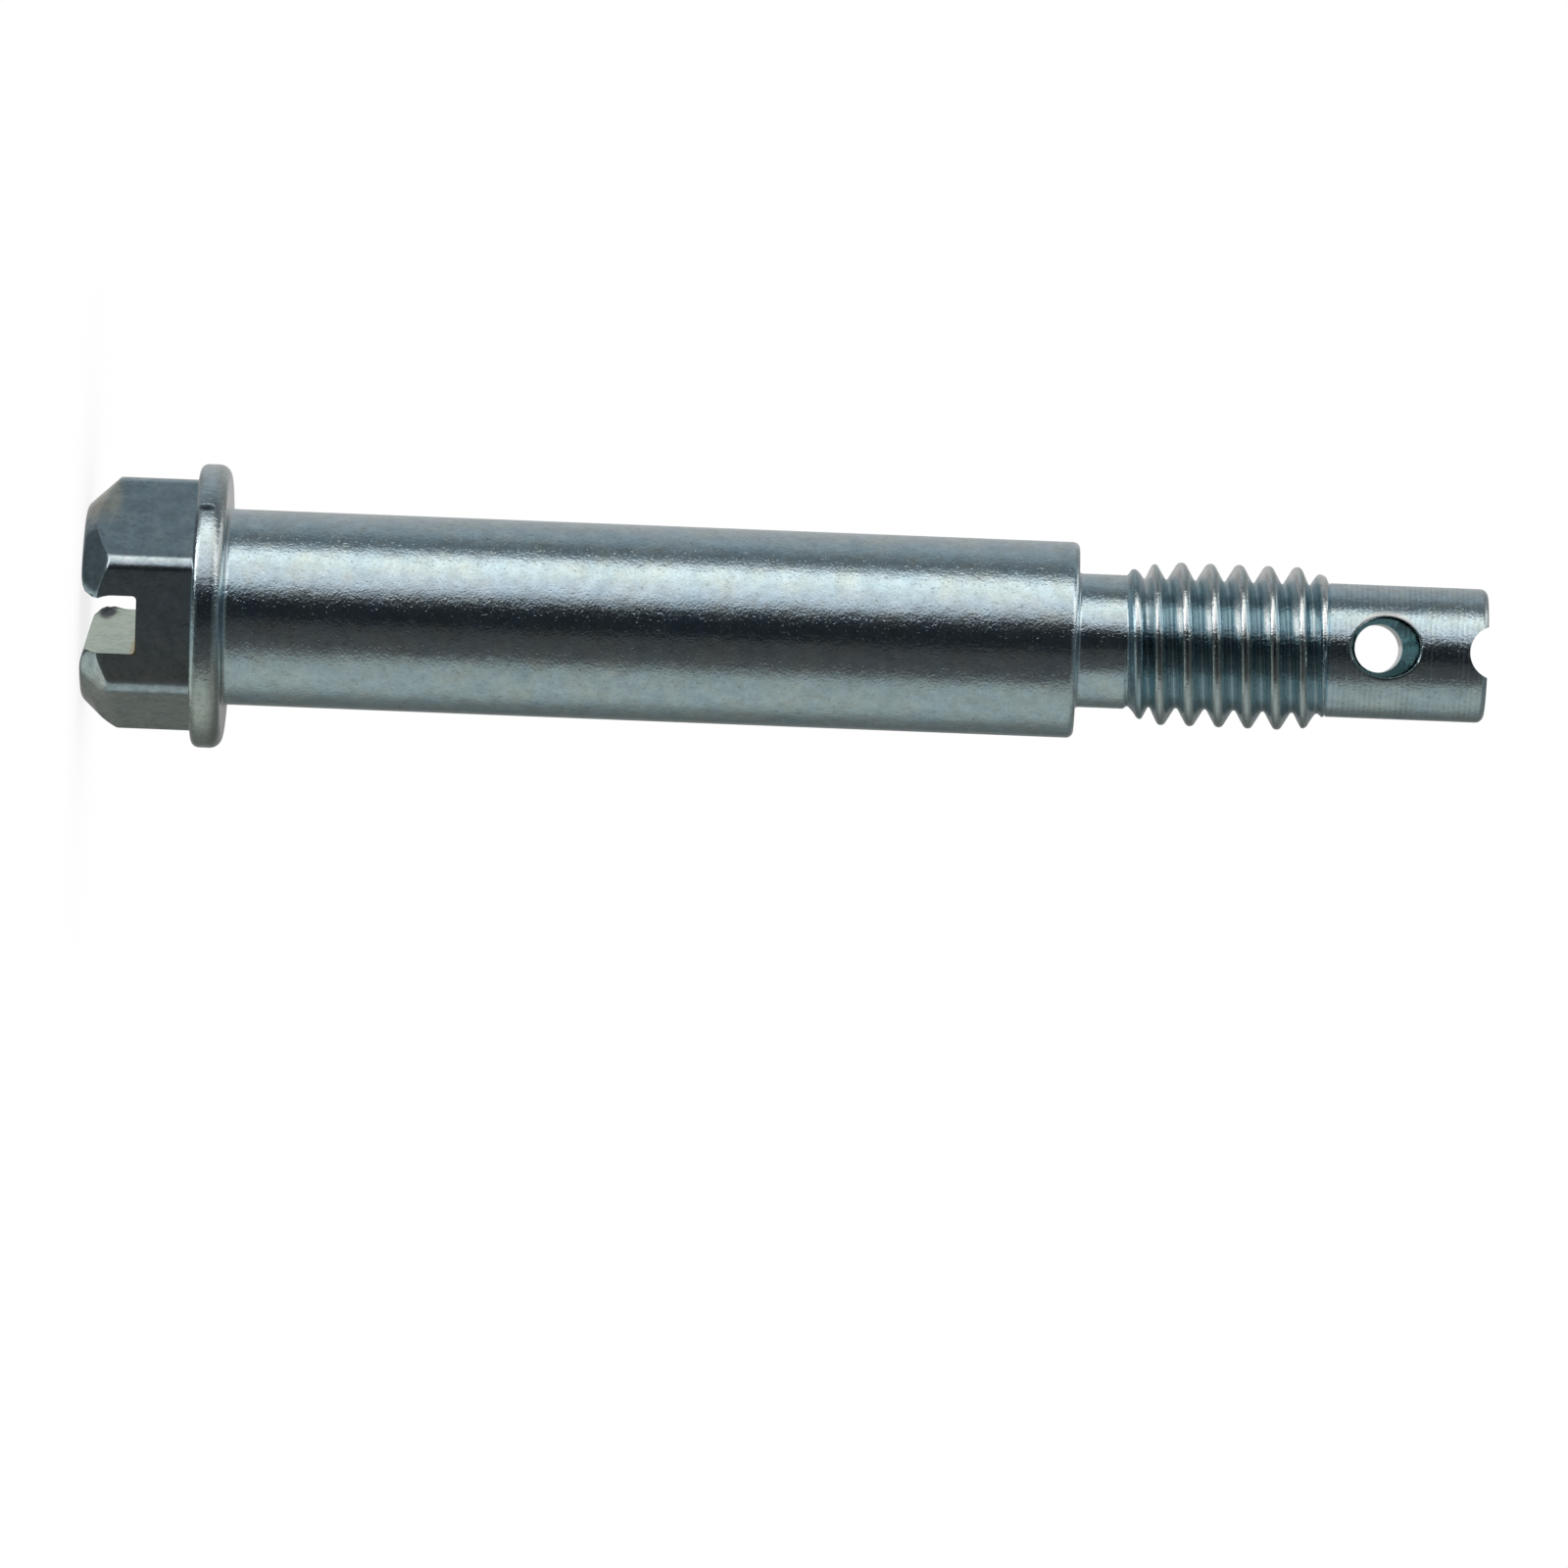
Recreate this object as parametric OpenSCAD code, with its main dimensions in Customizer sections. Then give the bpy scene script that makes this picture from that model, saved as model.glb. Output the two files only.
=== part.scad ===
// Brake pad pin, turned from one piece of steel and zinc plated.
// It stands on its head: Z runs along the pin, from the end face of the head up to the tip.
// The cross hole near the tip runs along Y, and its countersunk mouth faces -Y.

/* [Head] */
// Width of the hexagon across its flats
hex_flats = 11; // [9:0.1:12]
// Height of the hexagon, from the end face to the flange
hex_height = 5.4; // [4.5:0.1:8]
// Radius on the six long edges of the hexagon
hex_edge_r = 0.9; // [0.1:0.05:1.2]
// Diameter of the flat end face, inside the chamfer
end_face_d = 9.2; // [8:0.1:10]
// Radius on the edge between the end face and the chamfer
end_edge_r = 0.3; // [0.05:0.05:0.6]
// Angle between the chamfer and the axis of the pin
chamfer_angle = 43; // [30:1:60]
// Width of the screwdriver slot
slot_w = 2.85; // [1.5:0.05:4]
// Depth of the screwdriver slot
slot_depth = 2.75; // [1:0.05:4]
// Radius in the two bottom corners of the slot
slot_root_r = 0.2; // [0.1:0.05:0.5]
// Turn of the hexagon and its slot about the axis, away from the cross hole
head_turn = 12; // [0:1:30]

/* [Flange] */
// Diameter of the flange
flange_d = 13.8; // [12:0.1:18]
// Thickness of the flange
flange_t = 1.5; // [1.2:0.1:3]
// Radius on both rims of the flange
flange_edge_r = 0.45; // [0.1:0.05:0.55]

/* [Shank] */
// Diameter of the plain shank that carries the pads
shank_d = 9.525; // [8.5:0.005:11]
// Length of the plain shank
shank_len = 41.35; // [20:0.05:80]
// Radius on the edge of the shank's far shoulder
shank_edge_r = 0.35; // [0.1:0.05:0.6]
// Radius in the corner between the flange and the shank
shank_root_r = 0.25; // [0.1:0.05:0.6]
// Diameter of the relief neck between the shank and the thread
neck_d = 6.5; // [5:0.1:7]
// Length of the relief neck
neck_len = 2.3; // [1:0.1:6]
// Radius in the corner between the shank's shoulder and the neck
neck_root_r = 0.2; // [0.1:0.05:0.5]

/* [Thread] */
// Diameter over the crests of the thread
thread_d = 7.94; // [7.4:0.01:8.4]
// Pitch of the right-hand thread
thread_pitch = 1.411; // [1:0.001:1.6]
// Length from the neck to the pilot end
thread_len = 9.9; // [6:0.1:16]
// Direction in which the first turn starts, from +X
thread_start = 263; // [0:1:359]
// Turns over which the thread grows to its full height at each end
thread_run_in = 1.2; // [0.5:0.1:2]

/* [Tip] */
// Diameter of the pilot end
pilot_d = 6.5; // [5:0.1:7]
// Length of the pilot end
pilot_len = 7.7; // [6.5:0.1:14]
// Radius on the edge of the end face
pilot_edge_r = 0.4; // [0.1:0.05:0.8]
// Diameter of the cross hole
hole_d = 2.35; // [1.5:0.05:2.8]
// Distance from the end face of the tip to the middle of the cross hole
hole_from_tip = 5.3; // [3.8:0.1:5.5]
// Distance by which the cross hole misses the axis, towards -X
hole_off = 0.15; // [0:0.05:0.4]
// Diameter of the countersink where it meets the round side of the pilot end
sink_d = 3.48; // [3:0.02:3.6]
// Angle across the cone of the countersink
sink_angle = 60; // [55:1:90]
// Distance by which the countersink misses the hole, towards the tip
sink_off = 0.33; // [0:0.01:0.4]
// Radius of the half-round notch across the end face
notch_r = 1.3; // [0.6:0.05:1.6]
// Depth of the notch below the end face
notch_depth = 0.89; // [0.3:0.01:1.2]

/* [Hidden] */
$fn = 96;

// Heights of the shoulders along the pin
flange_z = hex_height;
shank_z = flange_z + flange_t;
neck_z = shank_z + shank_len;
thread_z = neck_z + neck_len;
pilot_z = thread_z + thread_len;
tip_z = pilot_z + pilot_len;
hole_z = tip_z - hole_from_tip;

// The hexagon: its sides, its sharp corners, and the centres of its rounded edges
hex_sides = 6;
half_side = 180 / hex_sides;
hex_corner_r = hex_flats / 2 / cos(half_side);
hex_round_at = hex_corner_r - hex_edge_r / cos(half_side);
chamfer_h = (hex_corner_r - end_face_d / 2) / tan(chamfer_angle);
end_tangent = end_edge_r * tan((90 - chamfer_angle) / 2);

// The thread: a 60 degree ridge on a round core, with a crest flat of an eighth of the pitch
flank_angle = 30;
depth_per_pitch = 0.6;
ridge_h = depth_per_pitch * thread_pitch;
core_r = thread_d / 2 - ridge_h;
crest_half = thread_pitch / 16;
ridge_half = crest_half + ridge_h * tan(flank_angle);
first_rise = 0.1;
plain_core = 0.06;
first_ridge = plain_core + first_rise * ridge_half;
turn_steps = 48;
turns = (thread_len - 2 * first_ridge) / thread_pitch;
steps = floor(turns * turn_steps);

// The countersink: a cone with its apex below the round side
sink_spread = tan(sink_angle / 2);
sink_apex = pilot_d / 2 - sink_d / 2 / sink_spread;

// Cutters reach past the surface that they cut by this much
past = 1;

// Half of a turned section: a bar from the axis out to r, with its outer corners rounded as asked
module bar(z, d, h, low_round = 0, high_round = 0) {
    r = d / 2;
    translate([0, z + low_round])
        square([r, h - low_round - high_round]);
    if (low_round > 0)
        translate([0, z])
            round_end(r, low_round);
    if (high_round > 0)
        translate([0, z + h])
            mirror([0, 1])
                round_end(r, high_round);
}

module round_end(r, edge_r) {
    square([r - edge_r, edge_r]);
    translate([r - edge_r, edge_r])
        circle(edge_r);
}

// Half of a turned inner corner: the hollow fillet where a bar of diameter d stands on a shoulder
module root_fillet(z, d, root_r) {
    translate([d / 2, z])
        difference() {
            square(root_r);
            translate([root_r, root_r])
                circle(root_r);
        }
}

// The hexagon's outline: straight flats between six round edges
module hex_outline() {
    flats = [
        for (corner = [0 : hex_sides - 1], side = [-1, 1])
            hex_round_at * [cos(2 * half_side * corner), sin(2 * half_side * corner)]
            + hex_edge_r * [
                cos(2 * half_side * corner + side * half_side),
                sin(2 * half_side * corner + side * half_side)
            ]
    ];
    polygon(flats);
    for (corner = [0 : hex_sides - 1])
        rotate(2 * half_side * corner)
            translate([hex_round_at, 0])
                circle(hex_edge_r);
}

// Half of the turned outline of the head: the end face, its rounded edge and the chamfer
module head_envelope() {
    face_r = end_face_d / 2;
    polygon([
        [0, 0],
        [face_r - end_tangent, 0],
        [face_r + end_tangent * sin(chamfer_angle), end_tangent * cos(chamfer_angle)],
        [hex_corner_r, chamfer_h],
        [hex_corner_r, hex_height],
        [0, hex_height]
    ]);
    translate([face_r - end_tangent, end_edge_r])
        circle(end_edge_r);
}

module hex_head() {
    intersection() {
        linear_extrude(hex_height)
            hex_outline();
        rotate_extrude()
            head_envelope();
    }
}

// The flange, the shank and the neck, turned in one pass
module turned_body() {
    rotate_extrude() {
        bar(flange_z, flange_d, flange_t, flange_edge_r, flange_edge_r);
        root_fillet(shank_z, shank_d, shank_root_r);
        bar(shank_z, shank_d, shank_len, high_round = shank_edge_r);
        root_fillet(neck_z, neck_d, neck_root_r);
        bar(neck_z, neck_d, neck_len);
    }
}

module pilot_end() {
    rotate_extrude()
        bar(pilot_z, pilot_d, pilot_len, high_round = pilot_edge_r);
}

module screwdriver_slot() {
    straight = slot_depth - slot_root_r;
    flat_half = slot_w / 2 - slot_root_r;
    rotate([90, 0, 0])
        linear_extrude(2 * hex_corner_r, center = true) {
            translate([-slot_w / 2, -past])
                square([slot_w, straight + past]);
            translate([-flat_half, 0])
                square([2 * flat_half, slot_depth]);
            for (side = [-1, 1])
                translate([side * flat_half, straight])
                    circle(slot_root_r);
        }
}

// Height of the ridge at a step of the helix, as a share of its full height
function turns_left(step) = min(step, steps - step) / turn_steps;
function rise(step) = min(1, max(first_rise, sqrt(turns_left(step) / thread_run_in)));

// One section of the ridge: its foot, the two edges of its crest, and its other foot
function ridge_section(step) =
    let (
        angle = thread_start + 360 * step / turn_steps,
        z = thread_z + first_ridge + thread_pitch * step / turn_steps,
        foot = ridge_half * rise(step),
        crest = crest_half * rise(step),
        crest_r = core_r + ridge_h * rise(step)
    )
    [
        for (point = [[core_r, -foot], [crest_r, -crest], [crest_r, crest], [core_r, foot]])
            [point[0] * cos(angle), point[0] * sin(angle), z + point[1]]
    ];

// A ring round the core, with its first point at a step of the helix
function core_ring(step, z) = [
    for (i = [0 : turn_steps - 1])
        let (angle = thread_start + 360 * (step + i) / turn_steps)
            [core_r * cos(angle), core_r * sin(angle), z]
];

// Points of the ridge by number: four to a section, and the outer two of the four stand on the core
section_points = 4;
function near_foot(step) = section_points * step;
function far_foot(step) = section_points * (step + 1) - 1;

// The threaded length as one closed skin: the ridge, the root between its turns, and the two plain ends
module threaded_length() {
    sections = [for (step = [0 : steps]) each ridge_section(step)];
    last_turn = steps - turn_steps;
    last_i = turn_steps - 1;
    low = len(sections);
    high = low + turn_steps;
    low_ring = [for (i = [0 : last_i]) low + i];
    high_ring = [for (i = [last_i : -1 : 0]) high + i];
    ridge = [
        for (step = [0 : steps - 1], side = [0 : section_points - 2])
            let (here = near_foot(step) + side, next = near_foot(step + 1) + side)
                [here, here + 1, next + 1, next]
    ];
    root = [
        for (step = [0 : last_turn - 1])
            let (above = step + turn_steps)
                [far_foot(step), near_foot(above), near_foot(above + 1), far_foot(step + 1)]
    ];
    low_wall = [
        for (i = [0 : last_i - 1])
            [low + i, near_foot(i), near_foot(i + 1), low + i + 1]
    ];
    low_seam = [
        [low + last_i, near_foot(last_i), near_foot(0), low],
        [near_foot(last_i), far_foot(0), near_foot(0)],
        [near_foot(last_i), near_foot(turn_steps), far_foot(0)]
    ];
    high_wall = [
        for (i = [1 : last_i])
            let (step = last_turn + i)
                [far_foot(step), high + i, high + (i + 1) % turn_steps, far_foot(step + 1)]
    ];
    high_seam = [
        [far_foot(last_turn), near_foot(steps), far_foot(last_turn + 1)],
        [near_foot(steps), far_foot(steps), far_foot(last_turn + 1)],
        [far_foot(steps), high, high + 1, far_foot(last_turn + 1)]
    ];
    first_end = [for (point = [far_foot(0) : -1 : near_foot(0)]) point];
    last_end = [for (point = [near_foot(steps) : far_foot(steps)]) point];
    polyhedron(
        points = concat(sections, core_ring(0, thread_z), core_ring(last_turn, pilot_z)),
        faces = concat(
            ridge,
            root,
            low_wall,
            high_wall,
            low_seam,
            high_seam,
            [first_end, last_end],
            [low_ring, high_ring]
        ),
        convexity = 10
    );
}

// The cross hole along Y, with its off-centre countersink on the -Y side
module cross_hole() {
    reach = pilot_d / 2 + past;
    translate([-hole_off, 0, hole_z]) {
        rotate([90, 0, 0])
            cylinder(h = 2 * reach, d = hole_d, center = true);
        translate([0, -sink_apex, sink_off])
            rotate([90, 0, 0])
                cylinder(h = reach - sink_apex, r1 = 0, r2 = (reach - sink_apex) * sink_spread);
    }
}

module end_notch() {
    translate([-hole_off, 0, tip_z + notch_r - notch_depth])
        rotate([90, 0, 0])
            cylinder(h = pilot_d + 2 * past, r = notch_r, center = true);
}

module pad_pin() {
    color("silver")
        difference() {
            union() {
                rotate(head_turn)
                    hex_head();
                turned_body();
                threaded_length();
                pilot_end();
            }
            rotate(head_turn)
                screwdriver_slot();
            cross_hole();
            end_notch();
        }
}

pad_pin();
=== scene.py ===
import math

import bmesh
import bpy
import numpy as np
from mathutils import Matrix, Vector


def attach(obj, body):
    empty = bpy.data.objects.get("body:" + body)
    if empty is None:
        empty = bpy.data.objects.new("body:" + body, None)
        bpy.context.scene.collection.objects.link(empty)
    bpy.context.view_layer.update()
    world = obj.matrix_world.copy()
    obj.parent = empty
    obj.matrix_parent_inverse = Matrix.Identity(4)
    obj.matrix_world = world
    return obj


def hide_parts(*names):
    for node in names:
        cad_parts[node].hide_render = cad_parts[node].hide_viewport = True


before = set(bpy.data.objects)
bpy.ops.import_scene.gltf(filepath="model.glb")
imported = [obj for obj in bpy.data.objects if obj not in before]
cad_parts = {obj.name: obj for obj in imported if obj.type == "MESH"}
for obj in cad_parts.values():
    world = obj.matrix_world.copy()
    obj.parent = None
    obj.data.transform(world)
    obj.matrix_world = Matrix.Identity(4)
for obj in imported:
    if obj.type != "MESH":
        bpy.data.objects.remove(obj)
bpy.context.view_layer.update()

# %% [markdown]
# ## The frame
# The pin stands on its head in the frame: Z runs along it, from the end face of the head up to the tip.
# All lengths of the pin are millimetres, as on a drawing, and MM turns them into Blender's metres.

MM = 0.001


# %% [markdown]
# ## How the skin of the pin is made
# A turned pin could be made with Blender's Screw modifier and Boolean cuts, but cuts leave ragged shading
# round a slot or a hole, and bright plating shows every ragged face. Here each surface is laid as a tidy
# grid of points, and grids that meet share the points of their edge. The grids are kept in a list,
# and the last step sews them into one closed skin.

# %% The list of grids, and how a grid or a pair of rings is kept
grids = []
strips = []


def lay(grid, ring=False):
    """Keep a grid of points (rows, columns, xyz). A ring also joins its last column to its first."""
    grids.append((np.array(grid, float), ring))


def join_rings(inner, outer):
    """Keep two closed rings of points, which are joined by triangles when the skin is sewn."""
    strips.append((np.array(inner, float), np.array(outer, float)))


def turned(radius, angle, z):
    """A point or an array of points at a radius and an angle (radians) about the axis of the pin."""
    return np.stack(np.broadcast_arrays(radius * np.cos(angle), radius * np.sin(angle), z), axis=-1)


def arc(centre, radius, start, end, steps):
    """Points (r, z) along an arc of a turned outline, with its angles in degrees."""
    turn = np.radians(np.linspace(start, end, steps + 1))
    return [(centre[0] + radius * math.cos(t), centre[1] + radius * math.sin(t)) for t in turn]


print("grids kept so far:", len(grids), "pairs of rings:", len(strips))

# %% [markdown]
# ## The hexagon head
# The head is an 11 mm hexagon with rounded long edges. A cone turned on its end makes the chamfer, which
# leaves the arched edges that are known from any bolt. The cone is a little off centre, so the arches are
# lower on one side. A six-sided cylinder with a bevel would come close, but here the columns of the grid
# follow the rounded edges and the mouth of the screwdriver slot, which makes each edge a clean line.

# %% Measures of the head
FLATS = 11.0
HEX_HEIGHT = 5.4
HEX_EDGE = 0.9
END_FACE_R = 4.635
END_EDGE = 0.6
CHAMFER = math.radians(43)
CHAMFER_EDGE = 0.06
SLOT_HALF = 1.425
SLOT_DEPTH = 2.75
SLOT_ROOT = 0.2
HEAD_TURN = math.radians(12)
CHAMFER_OFF = 0.3
CHAMFER_TOWARDS = math.radians(270) - HEAD_TURN
HEX_SIDES = 6
side_turn = 2 * math.pi / HEX_SIDES
half_side = side_turn / 2
half_flats = FLATS / 2
edge_centre = (half_flats - HEX_EDGE) / math.cos(half_side)
wall_end = SLOT_DEPTH - SLOT_ROOT
print("hexagon over its rounded corners, mm:", round(2 * (edge_centre + HEX_EDGE), 2))


# %% The outline of the hexagon and the floor of the slot
def hex_radius(angle):
    """Distance from the axis to the side of the hexagon. Its corners are at 0, 60, 120 degrees and so on."""
    off_corner = abs((angle + half_side) % side_turn - half_side)
    tangent = math.atan2(HEX_EDGE * math.sin(half_side), edge_centre + HEX_EDGE * math.cos(half_side))
    if off_corner > tangent:
        return half_flats / math.cos(half_side - off_corner)
    beside = edge_centre * math.sin(off_corner)
    return edge_centre * math.cos(off_corner) + math.sqrt(HEX_EDGE**2 - beside**2)


def slot_bottom(q):
    """Height of the slot's floor at a distance q from its middle, with the round of its two corners."""
    into_corner = max(0.0, abs(q) - (SLOT_HALF - SLOT_ROOT))
    return wall_end + math.sqrt(max(0.0, SLOT_ROOT**2 - into_corner**2))


print("from the axis to a corner and a flat, mm:", round(hex_radius(0), 3), round(hex_radius(half_side), 3))

# %% Columns round the head, closer together at the rounded edges and at the slot's two mouths
EDGE_COLUMNS = 13
FLAT_REACH = 24
FLOOR_Q = [-0.8, -0.4, 0.0, 0.4, 0.8]
ROOT_TURNS = (0, 30, 60, 90)
BESIDE_MOUTH = (15.3, 17.5, 20.5, FLAT_REACH)
MOUTH_SIDES = (1, 4)
corner_turns = np.linspace(-half_side, half_side, EDGE_COLUMNS)
corner_columns = [
    math.atan2(HEX_EDGE * math.sin(t), edge_centre + HEX_EDGE * math.cos(t)) for t in corner_turns
]
flat_columns = np.radians(np.linspace(-FLAT_REACH, FLAT_REACH, EDGE_COLUMNS))
root_q = [SLOT_HALF - SLOT_ROOT + SLOT_ROOT * math.sin(math.radians(t)) for t in ROOT_TURNS]
mouth_q = [-q for q in reversed(root_q)] + FLOOR_Q + root_q
mouth_columns = [math.atan2(q, half_flats) for q in mouth_q]
beside_mouth = [math.radians(t) for t in BESIDE_MOUTH]
mouth_flat = [-t for t in reversed(beside_mouth)] + mouth_columns + beside_mouth

head_columns = []
for side in range(HEX_SIDES):
    head_columns += [side * side_turn + t for t in corner_columns]
    middle = side * side_turn + half_side
    head_columns += [middle + t for t in (mouth_flat if side in MOUTH_SIDES else flat_columns)]
print("columns round the head:", len(head_columns))

# %% [markdown]
# ## Wear on the slot's lips
# A screwdriver has worn the slot. One lip is pressed down and has a burr at its far end, and the other lip
# is rounded and hangs into the slot a little at its near end. Wear could be sculpted by hand, but a rule
# that moves each point by its place keeps the grids joined, because points on the same spot move alike.

# %% How wear moves a point of the head
LIP_WEAR, LIP_REACH, LIP_FOOT = 0.24, 2.6, 0.9
BURR, BURR_START, BURR_Z, BURR_LONG = 0.3, 4.0, 0.84, 0.42
LIP_ROUND, LIP_ROUND_REACH, LIP_ROUND_FOOT = 0.22, 0.28, 1.0
LIP_HANG, HANG_START, HANG_Z, HANG_LONG = 0.18, 4.2, 0.75, 0.4


def held(share):
    """A share, held between 0 and 1."""
    return min(1.0, max(0.0, share))


def hump(off, width):
    """1 in the middle of a smooth hump, and next to nothing at twice its width."""
    return math.exp(-((off / width) ** 2))


def head_point(r, angle, z):
    """A point of the head after wear, with q across the slot and p along it."""
    q, p = r * math.cos(angle), r * math.sin(angle)
    if q > 0:
        beside = held((LIP_REACH - q) / (LIP_REACH - SLOT_HALF))
        z += LIP_WEAR * beside**2 * max(0.0, 1 - z / LIP_FOOT)
        at_end = held((p - BURR_START) / BURR_LONG)
        q -= BURR * at_end**2 * beside**2 * hump(z - BURR_Z, BURR_LONG)
    else:
        beside = math.exp(-max(0.0, -q - SLOT_HALF) / LIP_ROUND_REACH)
        z += LIP_ROUND * beside * max(0.0, 1 - z / LIP_ROUND_FOOT)
        at_end = held((-p - HANG_START) / HANG_LONG)
        q += LIP_HANG * at_end * beside * hump(z - HANG_Z, HANG_LONG)
    return turned(math.hypot(q, p), math.atan2(p, q) + HEAD_TURN, z)


print("the two lips are worn down by, mm:", LIP_WEAR, LIP_ROUND)

# %% [markdown]
# ## The sides and the end face of the head
# The path of a column runs from the axis out over the end face, bends over its rounded edge and follows
# the chamfer to a side of the hexagon. Its points that fall in the slot are moved out to the slot's edge,
# so that no cut is needed. The head is laid in three parts: a ring from the slot's floor to the flange, and
# one part on each side of the slot.

# %% The path of a column over the end face and the chamfer
FACE_ROWS, EDGE_ROWS, CONE_ROWS = 24, 5, 7
FINE_GAP = 0.03
EDGE_IN, EDGE_UP = 0.3, 0.08


def head_path(angle):
    """Points (r, z) from the axis over the end face, its edge and the chamfer to the side of the hexagon."""
    side = hex_radius(angle)
    tangent = END_EDGE * math.tan((math.pi / 2 - CHAMFER) / 2)
    face = END_FACE_R + CHAMFER_OFF * math.cos(angle - CHAMFER_TOWARDS) - tangent
    path = [(r, 0.0) for r in np.linspace(0, face - FINE_GAP, FACE_ROWS)]
    path += arc((face, END_EDGE), END_EDGE, -90, -math.degrees(CHAMFER), EDGE_ROWS)
    cone_r, cone_z = path[-1]
    corner_z = cone_z + (side - cone_r) / math.tan(CHAMFER)
    edge_reach = CHAMFER_EDGE * math.sin(CHAMFER)
    for r in np.linspace(cone_r, side - edge_reach, CONE_ROWS)[1:]:
        path.append((r, cone_z + (r - cone_r) / math.tan(CHAMFER)))
    path.append((side - EDGE_IN * edge_reach, corner_z + EDGE_UP * CHAMFER_EDGE))
    path.append((side, corner_z + CHAMFER_EDGE))
    return path


def from_radius(path, start):
    """The same points, with all that lie inside the start radius moved onto it."""
    radii = [p[0] for p in path]
    heights = [p[1] for p in path]
    z = np.interp(start, radii, heights)
    return [(r, h) if r > start else (start, z) for r, h in path]


print("points along a column's path:", len(head_path(0)))

# %% The sides below the slot's floor
STEPS_BELOW = 7
mouth_edge = math.atan2(SLOT_HALF, half_flats)


def head_mouth_angle(angle):
    """How far a column lies from the middle of the nearer mouth of the slot."""
    from_right = abs((angle + math.pi) % (2 * math.pi) - math.pi)
    return abs(from_right - math.pi / 2)


def column_start(angle):
    """Height at which a column starts: the slot's floor at a mouth, and the foot of its walls elsewhere."""
    if head_mouth_angle(angle) < mouth_edge:
        return slot_bottom(hex_radius(angle) * math.cos(angle))
    return wall_end


low_rows = []
for step in np.linspace(0, 1, STEPS_BELOW):
    row = []
    for a in head_columns:
        start = column_start(a)
        row.append(head_point(hex_radius(a), a, start + (HEX_HEIGHT - start) * step))
    low_rows.append(row)
lay(low_rows, ring=True)
hexagon_foot = np.array(low_rows[-1])
print("rows below the slot's floor:", len(low_rows))

# %% The two sides of the slot
WALL_STEPS = np.linspace(0, 1, 7)
TINY = 1e-9
right_columns = sorted(
    (a + math.pi) % (2 * math.pi) - math.pi
    for a in head_columns
    if math.cos(a) > 0 and head_mouth_angle(a) > mouth_edge - TINY
)
slot_edges = {}
for sign in (1, -1):
    paths = []
    for a in right_columns:
        angle = a if sign > 0 else math.pi - a
        path = from_radius(head_path(angle), SLOT_HALF / math.cos(a))
        top_r, top_z = path[-1]
        path += [(top_r, top_z + (wall_end - top_z) * s) for s in WALL_STEPS[1:]]
        paths.append([head_point(r, angle, z) for r, z in path])
        slot_edges[sign, a] = path[0][1]
    lay(np.swapaxes(np.array(paths), 0, 1))
print("columns on each side of the slot:", len(right_columns))

# %% [markdown]
# ## The screwdriver slot
# The slot is milled straight across the head, 2.85 mm wide, with a small radius in its two bottom corners.
# Its walls and its floor are one U-shaped section, carried along the slot from mouth to mouth. The ends of
# the section follow the edge that the head's grids left, so the slot needs no cutting.

# %% The walls and the floor of the slot
sections = []
for a in right_columns:
    p = SLOT_HALF * math.tan(a)
    right_top, left_top = slot_edges[1, a], slot_edges[-1, a]
    section = [(SLOT_HALF, p, right_top + (wall_end - right_top) * s) for s in WALL_STEPS]
    section += [(q, p, slot_bottom(q)) for q in reversed(mouth_q[1:-1])]
    section += [(-SLOT_HALF, p, left_top + (wall_end - left_top) * s) for s in reversed(WALL_STEPS)]
    sections.append([head_point(math.hypot(q, t), math.atan2(t, q), z) for q, t, z in section])
lay(np.swapaxes(np.array(sections), 0, 1))
print("slot sections:", len(sections), "points each:", len(sections[0]))

# %% [markdown]
# ## The flange, the shank and the neck
# These are plainly turned, so one outline goes round the axis. The flange's rims, the corner under it and
# the shank's shoulder are rounded as a lathe tool leaves them. On bright metal a rounded edge is what
# catches the light, so each radius has several rows. Two fine tool grooves run round the neck.

# %% The turned outline
FLANGE_R, FLANGE_Z, HEAD_RIM, SEAT_RIM = 6.9, 5.4, 0.38, 0.6
SHANK_R, SHANK_Z, SHANK_ROOT, SHANK_EDGE = 4.7625, 6.9, 0.25, 0.35
NECK_R, NECK_Z, NECK_ROOT = 3.25, 48.25, 0.2
THREAD_Z, PILOT_Z, TIP_Z = 50.55, 60.45, 68.15
GROOVES_Z, GROOVE_DEPTH, GROOVE_HALF = (49.36, 50.33), 0.012, 0.05
ROUND_STEPS, SHANK_ROWS = 6, 30
GAP, NECK_GAP = 0.05, 0.04
outline = [(FLANGE_R - HEAD_RIM - FINE_GAP, FLANGE_Z)]
outline += arc((FLANGE_R - HEAD_RIM, FLANGE_Z + HEAD_RIM), HEAD_RIM, -90, 0, ROUND_STEPS)
outline += [(FLANGE_R, FLANGE_Z + HEAD_RIM + GAP), (FLANGE_R, SHANK_Z - SEAT_RIM - GAP)]
outline += arc((FLANGE_R - SEAT_RIM, SHANK_Z - SEAT_RIM), SEAT_RIM, 0, 90, 2 * ROUND_STEPS)
outline += [(FLANGE_R - SEAT_RIM - GAP, SHANK_Z), (SHANK_R + SHANK_ROOT + FINE_GAP, SHANK_Z)]
outline += arc((SHANK_R + SHANK_ROOT, SHANK_Z + SHANK_ROOT), SHANK_ROOT, 270, 180, ROUND_STEPS)
shank_start, shank_end = SHANK_Z + SHANK_ROOT + GAP, NECK_Z - SHANK_EDGE - GAP
outline += [(SHANK_R, z) for z in np.linspace(shank_start, shank_end, SHANK_ROWS)]
outline += arc((SHANK_R - SHANK_EDGE, NECK_Z - SHANK_EDGE), SHANK_EDGE, 0, 90, ROUND_STEPS)
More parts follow.
